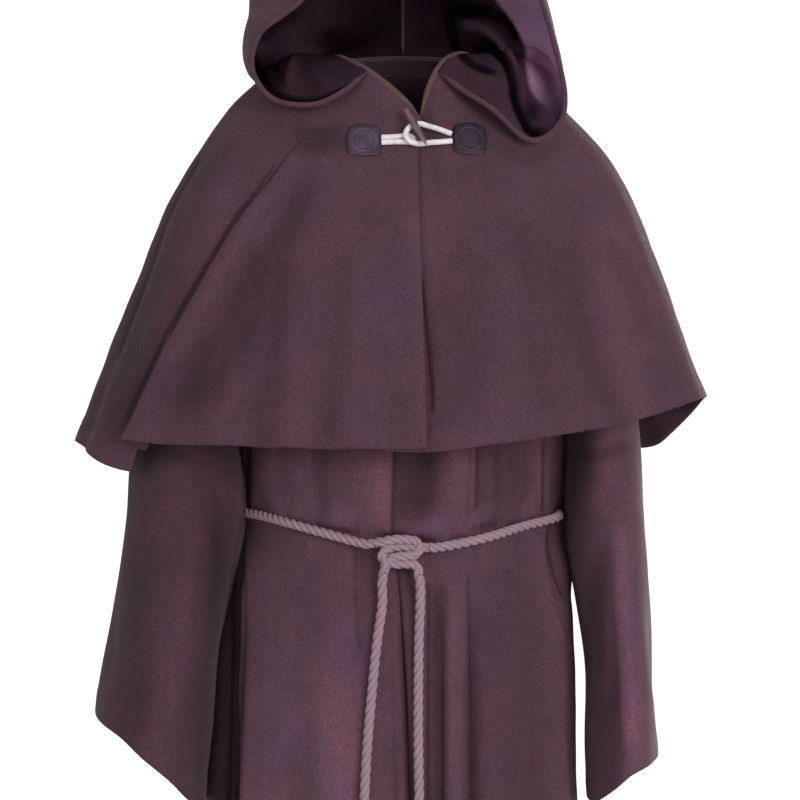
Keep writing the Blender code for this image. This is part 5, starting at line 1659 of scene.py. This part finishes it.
def stitched(name, tree, lines, stitch, thread, loop=False):
    """Stitches along lines of points, as one plain mesh."""
    points, edges = [], []
    for line in lines:
        first = len(points)
        points += np.asarray(line).tolist()
        edges += [(first + i, first + i + 1) for i in range(len(line) - 1)]
        if loop:
            edges.append((first + len(line) - 1, first))
    mesh = bpy.data.meshes.new(name + "_line")
    mesh.from_pydata(points, edges, [])
    made = add_object(name, mesh, None)
    sewing = made.modifiers.new("Stitches", "NODES")
    sewing.node_group = tree
    given = {item.name: item.identifier for item in tree.interface.items_tree if item.in_out == "INPUT"}
    for socket, value in zip(("Spacing", "Stitch length", "Thread radius", "Thread"), (*stitch, thread)):
        sewing[given[socket]] = value
    return as_plain_mesh(made, name, thread)


def line_inside(points, distance, lift, outward):
    """A line on a grid's outer side, a distance along the cloth from its last row."""
    down = lengths_along(points, 0)
    raised = points + outward * lift
    line = []
    for i in range(points.shape[1]):
        place = down[-1, i] - distance
        line.append([np.interp(place, down[:, i], raised[:, i, axis]) for axis in range(3)])
    return np.array(line)


# Pieces

# Rolled edges and seams
ROLL_STEP = 0.003
ROLL_SIDES = 12
ROLL_TAPER_STEPS = 6
RIM_RADIUS = 0.0027
HOOD_SEAM_RADIUS = 0.0021
HOOD_SEAM_LIFT = 0.0008
NECK_SEAM_RADIUS = 0.0032
BINDING_RADIUS = 0.0036
BINDING_INSET = 0.0010


def rolled_edge(name, line, radius, finish, sideways=None):
    """A narrow rolled edge along a line of points."""
    parts = MeshParts()
    steps = len(line)
    from_end = np.minimum(np.arange(steps), steps - 1 - np.arange(steps))
    parts.tube(line, radius * (0.35 + 0.65 * ease(from_end / ROLL_TAPER_STEPS)), ROLL_SIDES, sideways)
    made = parts.finished(name, finish)
    made.data.uv_layers[0].name = "cloth"
    return made


def make_robe(cloth):
    sheets, grids = {}, []
    for name, front, nodes in (
        ("robe_front", True, ("bodice_front", "skirt_front")),
        ("robe_back", False, ("bodice_back", "skirt_back")),
    ):
        points, height, lightness = robe_cloth(front)
        grids.append(points)
        sheets[name] = settle(panel(name, points, height, lightness, cloth), "wool", *nodes)
    for name, table, side, lean, node in (
        ("right_sleeve", RIGHT_SLEEVE, -1, RIGHT_SLEEVE_LEAN, "sleeve_right"),
        ("left_sleeve", LEFT_SLEEVE, 1, LEFT_SLEEVE_LEAN, "sleeve_left"),
    ):
        points, height, lightness = sleeve_cloth(table, side, lean)
        sheets[name] = settle(panel(name, points, height, lightness, cloth, ring=True), "wool", node)
    return sheets, grids


def make_cape(cloth):
    sheets, grids = {}, {}
    for name, part, node in (
        ("cape_right_front", "right", "cape_front_right"),
        ("cape_left_front", "left", "cape_front_left"),
        ("cape_rear", "back", "cape_back"),
    ):
        points, height, lightness = cape_cloth(part)
        grids[part] = points
        sheets[name] = settle(panel(name, points, height, lightness, cloth), "wool", node)
    return sheets, grids


def make_hood(cloth, shaded_inside):
    sheets = {}
    for name, table, side, lines, node in (
        ("right_hood", RIGHT_HOOD, -1, RIGHT_HOOD_LINES, "hood_right"),
        ("left_hood", LEFT_HOOD, 1, LEFT_HOOD_LINES, "hood_left"),
    ):
        points, height, within = hood_cloth(table, side, lines)
        light = np.full(height.shape, CAPE_LIGHT)
        made = panel(name, points, height, light, cloth, flip=side < 0, inside=shaded_inside, shaded_inside=within)
        sheets[name] = settle(made, "wool", node)
        outward = -side * across_surface(points)
        rim = points[:, 0] + outward[:, 0] * CLOTH / 2
        roll = rolled_edge(name + "_rim", smooth_path(rim[::3], ROLL_STEP), RIM_RADIUS, cloth)
        sheets[name + "_rim"] = settle(roll, "wool")
    return sheets


def make_seams(cloth):
    """The hood's middle seam and the seam that joins it to the cape, each a narrow roll."""
    places = [seam.share for seam in HOOD_SEAM]
    down = np.linspace(1.0, 0.0, 90)
    rows = [read_table(HOOD_SEAM, "share", place) for place in down]
    back = np.array([(0.0, float(row.back), -float(row.back_drop)) for row in rows])
    middle = hood_seat(1, np.array([1.0]))[0]
    seated = (1 - clamp(down / places[2])) ** 2
    back += (np.array((0.0, middle[1], middle[2])) - back[-1]) * seated[:, None]
    crown = hood_ring_point(RIGHT_HOOD[-1], HOOD_SEAM[-1], 1, np.linspace(0, 1, 40))
    crown[:, 0] = 0.0
    line = smooth_path(np.concatenate([crown[::3], back[3::3]]), ROLL_STEP)
    way = unit(np.gradient(line, axis=0))
    outward = unit(np.cross(way, np.array((1.0, 0.0, 0.0))))
    outward *= np.sign(np.sum(outward * (line - HOOD_MIDDLE), axis=1))[:, None]
    roll = rolled_edge("hood_seam", line + outward * HOOD_SEAM_LIFT, HOOD_SEAM_RADIUS, cloth, (1, 0, 0))
    settle(roll, "wool")
    run = np.linspace(0.0, 1.0, 60)
    halves = []
    for side in (-1, 1):
        edge = cape_point(side * mix(HOOD_START_ANGLE, 180, run), 0)
        halves.append(mix(edge, hood_seat(side, run), 0.55))
    line = smooth_path(np.concatenate([halves[0][::3], halves[1][::-3][1:]]), ROLL_STEP)
    settle(rolled_edge("neck_seam", line, NECK_SEAM_RADIUS, cloth), "wool")


# The step along each path, and how far along it a strand goes once round
ROPE_STEP = 0.0014
KNOT_STEP = 0.0009
WAIST_PITCH = 0.028
TAIL_PITCH = 0.032


def make_belt(fibre, front, back):
    """The rope belt: the waist, its knot, the hanging tails and the knots at their ends."""
    pieces = {}
    robe = np.concatenate([front.reshape(-1, 3), back.reshape(-1, 3)])
    waist = smooth_path(waist_route(robe), ROPE_STEP)
    parts = MeshParts()
    parts.rope(waist, ROPE_DIAMETER / 2, WAIST_PITCH)
    pieces["waist_rope"] = settle(parts.finished("waist_rope", fibre), "rope", "belt_waist")
    parts = MeshParts()
    for stops in (KNOT_FROM_RIGHT, KNOT_FROM_LEFT):
        parts.rope(smooth_path(knot_route(stops), KNOT_STEP), ROPE_DIAMETER / 2, WAIST_PITCH)
    pieces["rope_knot"] = settle(parts.finished("rope_knot", fibre), "rope", "belt_knot")
    tails = {}
    for side, stops, strand in (("right", RIGHT_TAIL, KNOT_FROM_RIGHT), ("left", LEFT_TAIL, KNOT_FROM_LEFT)):
        path = smooth_path(tail_route(front, stops, strand), ROPE_STEP)
        tails[side] = path
        parts = MeshParts()
        parts.rope(path, ROPE_DIAMETER / 2, TAIL_PITCH)
        name = side + "_tail_rope"
        pieces[name] = settle(parts.finished(name, fibre), "rope", "belt_tail_" + side)
        name = side + "_end_knot"
        pieces[name] = settle(end_knot(name, path[-1], fibre), "rope", "belt_end_" + side)
    return pieces, waist, tails


# The knots at the rope's ends: the coil, and the loose yarns, each turned on from the one before
COIL_STEPS = 150
COIL_TURNS = 3.1
YARN_COUNT = 26
YARN_STEPS = 26
GOLDEN_TURN = 2.399963


def end_knot(name, top, fibre):
    """A knot wound in three turns round a rope's end, with its yarns loose below."""
    parts = MeshParts()
    top = np.array(top)
    turns = np.linspace(0, 2 * math.pi * COIL_TURNS, COIL_STEPS)
    rise = np.linspace(-0.0075, -0.0250, COIL_STEPS)
    radius = 0.0073 - 0.0012 * np.abs(np.linspace(-1, 1, COIL_STEPS)) ** 3
    coil = np.stack([radius * np.cos(turns), radius * np.sin(turns), rise], -1)
    parts.rope(coil + top, 0.0036, 0.018, sides=8)
    core = np.stack([0 * rise, 0 * rise, np.linspace(-0.0004, -0.0320, COIL_STEPS)], -1)
    parts.rope(core + top, 0.0048, 0.030, sides=8)
    rng = np.random.default_rng(9)
    share = np.linspace(0, 1, YARN_STEPS)
    for i in range(YARN_COUNT):
        angle = i * GOLDEN_TURN
        spread = 0.0052 * math.sqrt((i + 0.5) / YARN_COUNT)
        length = 0.0585 - rng.uniform(0.0, 0.004)
        drop = np.linspace(-0.0270, -length, YARN_STEPS)
        sway = 0.0006 * np.sin(share * rng.uniform(4, 8) + rng.uniform(0, 6))
        reach = spread * (0.62 + 0.50 * share) + sway
        yarn = np.stack([reach * np.cos(angle + sway * 200), reach * np.sin(angle + sway * 200), drop], -1)
        parts.tube(yarn + top, 0.00105 * (1 - 0.45 * share ** 4), 7)
    return parts.finished(name, fibre)


# How far the cloth seen from the front may lie from where the cape's shape has it
FACE_TOLERANCE = 0.006


class CapeFace:
    """The outer face of the finished cape's fronts, found from straight in front."""

    def __init__(self, grids):
        points, faces = [], []
        for part in ("right", "left"):
            grid = grids[part]
            outer = grid - across_surface(grid) * CLOTH
            faces += cell_corners(numbered(grid, len(points))).reshape(-1, 4).tolist()
            points += outer.reshape(-1, 3).tolist()
        self.tree = BVHTree.FromPolygons(points, faces)

    def places(self, side, drop, out):
        """Points standing out from the cloth, at distances to the side and drops."""
        found = []
        level = cape_surface(side, drop, CLOTH)
        for x, z, rise, flat in zip(level[:, 0], level[:, 2], np.broadcast_to(out, (len(level),)), level):
            hit, normal, _, _ = self.tree.ray_cast(Vector((x, -1.0, z)), Vector((0, 1, 0)))
            if hit is None or abs(hit.y - flat[1]) > FACE_TOLERANCE:
                hit = Vector(flat)
                normal = Vector((0, -1, 0.3)).normalized()
            if normal.y > 0:
                normal = -normal
            found.append(hit + normal * float(rise))
        return np.array([tuple(point) for point in found])


# The patches' grids, pressed rings and stitches
PATCH_STEPS = 56
RING_RADIUS = 0.0121
RING_RISE = 0.0006
RING_WIDTH = 0.0009
RING_GROOVE = 0.0005
PATCH_SMOOTHINGS = 12
PATCH_SWELL = 0.0005
PATCH_EDGE_FALL = 0.0008
STITCH_INSET = 4
LEATHER_STITCH_LIFT = 0.0002

# The cords' and the toggle's tubes
BRAID_STEP = 0.0006
BRAID_SWELL = 0.0004
BRAID_SIDES = 20
HORN_SIDES = 28
HORN_LEAST_RADIUS = 0.00003


def patch_cloth(face, side, drop):
    """A rounded square of leather on the cape, with a ring pressed up on it."""
    half = PATCH_SIZE / 2
    u, v = np.meshgrid(np.linspace(-1, 1, PATCH_STEPS + 1), np.linspace(-1, 1, PATCH_STEPS + 1))
    x = half * u * np.sqrt(1 - PATCH_ROUNDING * v * v)
    y = half * v * np.sqrt(1 - PATCH_ROUNDING * u * u)
    base = face.places((side + x).ravel(), (drop + y).ravel(), 0.0).reshape(u.shape + (3,))
    for _ in range(PATCH_SMOOTHINGS):
        smooth = base.copy()
        smooth[1:-1, 1:-1] = (base[:-2, 1:-1] + base[2:, 1:-1] + base[1:-1, :-2] + base[1:-1, 2:]) / 4
        base = smooth
    outward = -across_surface(base)
    away = np.hypot(x, y)
    height = RING_RISE * bump(away - RING_RADIUS, RING_WIDTH)
    height -= RING_GROOVE * bump(away - RING_RADIUS + 2 * RING_WIDTH, 0.0008)
    height += PATCH_SWELL * (1 - (away / half) ** 2)
    edge = np.maximum(np.abs(u), np.abs(v))
    height -= PATCH_EDGE_FALL * ease((edge - 0.86) / 0.14)
    return raised(base, outward, PATCH_LIFT + height), height


def make_toggle(grids, leathers, braid, horn, thread, stitches):
    """The toggle, its cord and loop, and the leather patches that hold them."""
    face = CapeFace(grids)
    for name, centre, node, leather in (
        ("right_patch", RIGHT_PATCH_CENTRE, "toggle_patch_right", leathers[0]),
        ("left_patch", LEFT_PATCH_CENTRE, "toggle_patch_left", leathers[1]),
    ):
        points, height = patch_cloth(face, *centre)
        made = panel(name, points, height, np.ones(height.shape), leather, thickness=LEATHER)
        settle(made, "leather", node)
        outer = points - across_surface(points) * (LEATHER + LEATHER_STITCH_LIFT)
        near, far = STITCH_INSET, PATCH_STEPS - STITCH_INSET
        line = [outer[near, i] for i in range(near, far)] + [outer[j, far] for j in range(near, far)]
        line += [outer[far, i] for i in range(far, near, -1)] + [outer[j, near] for j in range(far, near, -1)]
        sewn = stitched(name + "_stitches", stitches, [line], PATCH_STITCH, thread, loop=True)
        settle(sewn, "leather")
    for name, stops, node in (
        ("toggle_braid", TOGGLE_CORD, "toggle_cord"),
        ("loop_braid", LOOP_CORD, "loop_cord"),
    ):
        side, drop, out = (np.array(column) for column in zip(*stops))
        path = smooth_path(face.places(side, drop, out - CLOTH), BRAID_STEP)
        parts = MeshParts()
        parts.tube(path, CORD_DIAMETER / 2 + BRAID_SWELL, BRAID_SIDES)
        settle(parts.finished(name, braid), "braid", node)
    ends = [cape_surface(*stop)[0] for stop in (TOGGLE_TOP, TOGGLE_TIP)]
    way = unit(ends[1] - ends[0])
    shares = 0.5 - 0.5 * np.cos(np.linspace(0, 1, 90) * math.pi)
    radii = curve_through(*zip(*TOGGLE_PROFILE), shares)
    path = ends[0] + way * (shares * TOGGLE_LENGTH)[:, None]
    parts = MeshParts()
    parts.tube(path, np.maximum(radii, HORN_LEAST_RADIUS), HORN_SIDES)
    settle(parts.finished("horn_toggle", horn), "horn", "toggle")


def make_trims(grids, binding, thread, stitches):
    """The binding of the cape's neckline, and the hand stitches of its hem."""
    for name, first, last in (("right_neck_binding", -80.0, 13.6), ("left_neck_binding", 15.2, 80.0)):
        angle = np.linspace(first, last, 60)
        turn = np.radians(angle)
        inward = np.stack([-np.sin(turn), np.cos(turn), 0 * turn], -1)
        line = cape_point(angle, 0.0) + (inward + np.array((0, 0, 1))) * BINDING_INSET
        settle(rolled_edge(name, line, BINDING_RADIUS, binding), "wool")
    lines = []
    for part in ("right", "left", "back"):
        grid = grids[part]
        lines.append(line_inside(grid, HEM_BAND, CLOTH + STITCH_LIFT, -across_surface(grid)))
    sewn = stitched("cape_hem_stitches", stitches, lines, HEM_STITCH, thread)
    return settle(sewn, "wool")


# Studio


Lamp = namedtuple("Lamp", "name place size power tint")
LAMPS = rows_of(Lamp, [
    ("window_right", (1.8, -3.1, -0.10), 1.7, 104.0, (1.0, 0.985, 0.975)),
    ("window_left", (-2.6, -2.8, 0.30), 2.2, 42.0, (0.97, 0.98, 1.0)),
    ("window_behind", (1.4, 3.2, 0.0), 2.0, 130.0, (1.0, 0.99, 0.98)),
])
SKY_STRENGTH = 0.50
PAPER_GLOW = 0.62
LOOKED_AT = Vector((0, 0, -0.45))
FLOOR_SIDES = 64
FLOOR_RADIUS = 7.0
FLOOR_CURVE = 2.5
FLOOR_GAP = 0.006


def set_studio(paper):
    """The camera, a floor that curves up into a backdrop all round, and soft light."""
    scene = bpy.context.scene
    data = bpy.data.cameras.new("camera")
    data.lens = 100
    data.sensor_width = 36
    data.clip_end = 60
    camera = bpy.data.objects.new("camera", data)
    camera.location = (-0.003, -2.4, -0.365)
    camera.rotation_euler = (math.pi / 2, 0, 0)
    scene.collection.objects.link(camera)
    scene.camera = camera
    curve = np.linspace(0, math.pi / 2, 12)[1:]
    wall = FLOOR_RADIUS + FLOOR_CURVE
    reach = [0.0, 2.0, 4.0, FLOOR_RADIUS, *(FLOOR_RADIUS + FLOOR_CURVE * np.sin(curve)), wall]
    rise = np.array([0.0] * 4 + [*(FLOOR_CURVE - FLOOR_CURVE * np.cos(curve)), 4.0]) - HEM_DROP - FLOOR_GAP
    turn = np.linspace(0, 2 * math.pi, FLOOR_SIDES, endpoint=False)
    level = np.repeat(rise[:, None], FLOOR_SIDES, 1)
    rows = np.stack([np.outer(reach, np.cos(turn)), np.outer(reach, np.sin(turn)), level], -1)
    faces = cell_corners(closed_ring(numbered(rows))).reshape(-1, 4).tolist()
    mesh = bpy.data.meshes.new("backdrop")
    mesh.from_pydata(rows.reshape(-1, 3).tolist(), [], faces)
    model = bmesh.new()
    model.from_mesh(mesh)
    bmesh.ops.remove_doubles(model, verts=model.verts, dist=0.0001)
    model.to_mesh(mesh)
    model.free()
    mesh.shade_smooth()
    backdrop = add_object("backdrop", mesh, paper)
    backdrop.visible_diffuse = False
    backdrop.visible_glossy = False
    for name, place, size, power, tint in LAMPS:
        lamp = bpy.data.lights.new(name, "AREA")
        lamp.size = size
        lamp.energy = power
        lamp.color = tint
        made = bpy.data.objects.new(name, lamp)
        made.location = place
        aim = LOOKED_AT - Vector(place)
        made.rotation_euler = aim.to_track_quat("-Z", "Y").to_euler()
        scene.collection.objects.link(made)
    world = bpy.data.worlds.new("studio")
    world.use_nodes = True
    sky = world.node_tree.nodes["Background"]
    sky.inputs["Color"].default_value = (1.0, 1.0, 1.0, 1)
    sky.inputs["Strength"].default_value = SKY_STRENGTH
    scene.world = world
    scene.view_settings.view_transform = "Standard"


def main():
    set_studio(studio_paper())
    fibre = rope_fibre()
    cloth = wool()
    robe, (front, back) = make_robe(cloth)
    belt, waist, tails = make_belt(fibre, front, back)
    cape, grids = make_cape(cloth)
    # The hood's inside takes a wool of nearly the same colour, painted darker for the shade inside the hood.
    hood = make_hood(cloth, wool("wool_inside", (0.078, 0.037, 0.057), (0.066, 0.037, 0.064), inner=True))
    make_seams(cloth)
    stitches = stitch_tree()
    # The neck binding's wool is lighter and warmer than the cape's: painted light on the neck edge, which catches
    # it.
    binding = wool("neck_binding_painted_light", (0.118, 0.060, 0.042), (0.100, 0.060, 0.050))
    thread = sewing_thread("wool_thread", (0.060, 0.030, 0.042))
    dark_thread = sewing_thread("waxed_thread", (0.030, 0.016, 0.026))
    # The left patch takes a darker copy of the same leather: painted shade.
    leathers = (
        tanned_leather("leather_right", (0.030, 0.016, 0.034), (0.050, 0.032, 0.058)),
        tanned_leather("leather_left_shaded", (0.014, 0.006, 0.014), (0.026, 0.012, 0.024)),
    )
    make_toggle(grids, leathers, white_braid(), polished_horn(), dark_thread, stitches)
    hem_stitches = make_trims(grids, binding, thread, stitches)
    declare_sheets({**robe, **cape, **hood}, hem_stitches)


def declare_sheets(sheets, hem_stitches):
    """Runs through the flat size and area that each piece of cloth was cut to, and what it hangs from, and
    gathers the pieces that go with it, but records none of it.
    """
    for name, width, length, area, held, carriers in CUTS:
        with_pieces = [sheets[name + "_rim"]] if name + "_rim" in sheets else []
        if name == "cape_rear":
            with_pieces.append(hem_stitches)


Cut = namedtuple("Cut", "name width length area held carriers")
CUTS = rows_of(Cut, [
    ("robe_front", 0.92, 1.46, 0.88, "hung", ["robe_back"]),
    ("robe_back", 0.92, 1.46, 0.85, "hung", ["robe_front"]),
    ("right_sleeve", 0.60, 0.66, 0.29, "hung", ["robe_front", "robe_back"]),
    ("left_sleeve", 0.60, 0.66, 0.27, "hung", ["robe_front", "robe_back"]),
    ("cape_right_front", 0.56, 0.52, 0.175, "draped", ["robe_front", "right_sleeve"]),
    ("cape_left_front", 0.52, 0.50, 0.150, "draped", ["robe_front", "left_sleeve"]),
    ("cape_rear", 0.98, 0.56, 0.33, "draped", ["robe_back"]),
    ("right_hood", 0.40, 0.46, 0.145, "draped", ["cape_right_front", "cape_rear"]),
    ("left_hood", 0.40, 0.46, 0.140, "draped", ["cape_left_front", "cape_rear"]),
])


main()
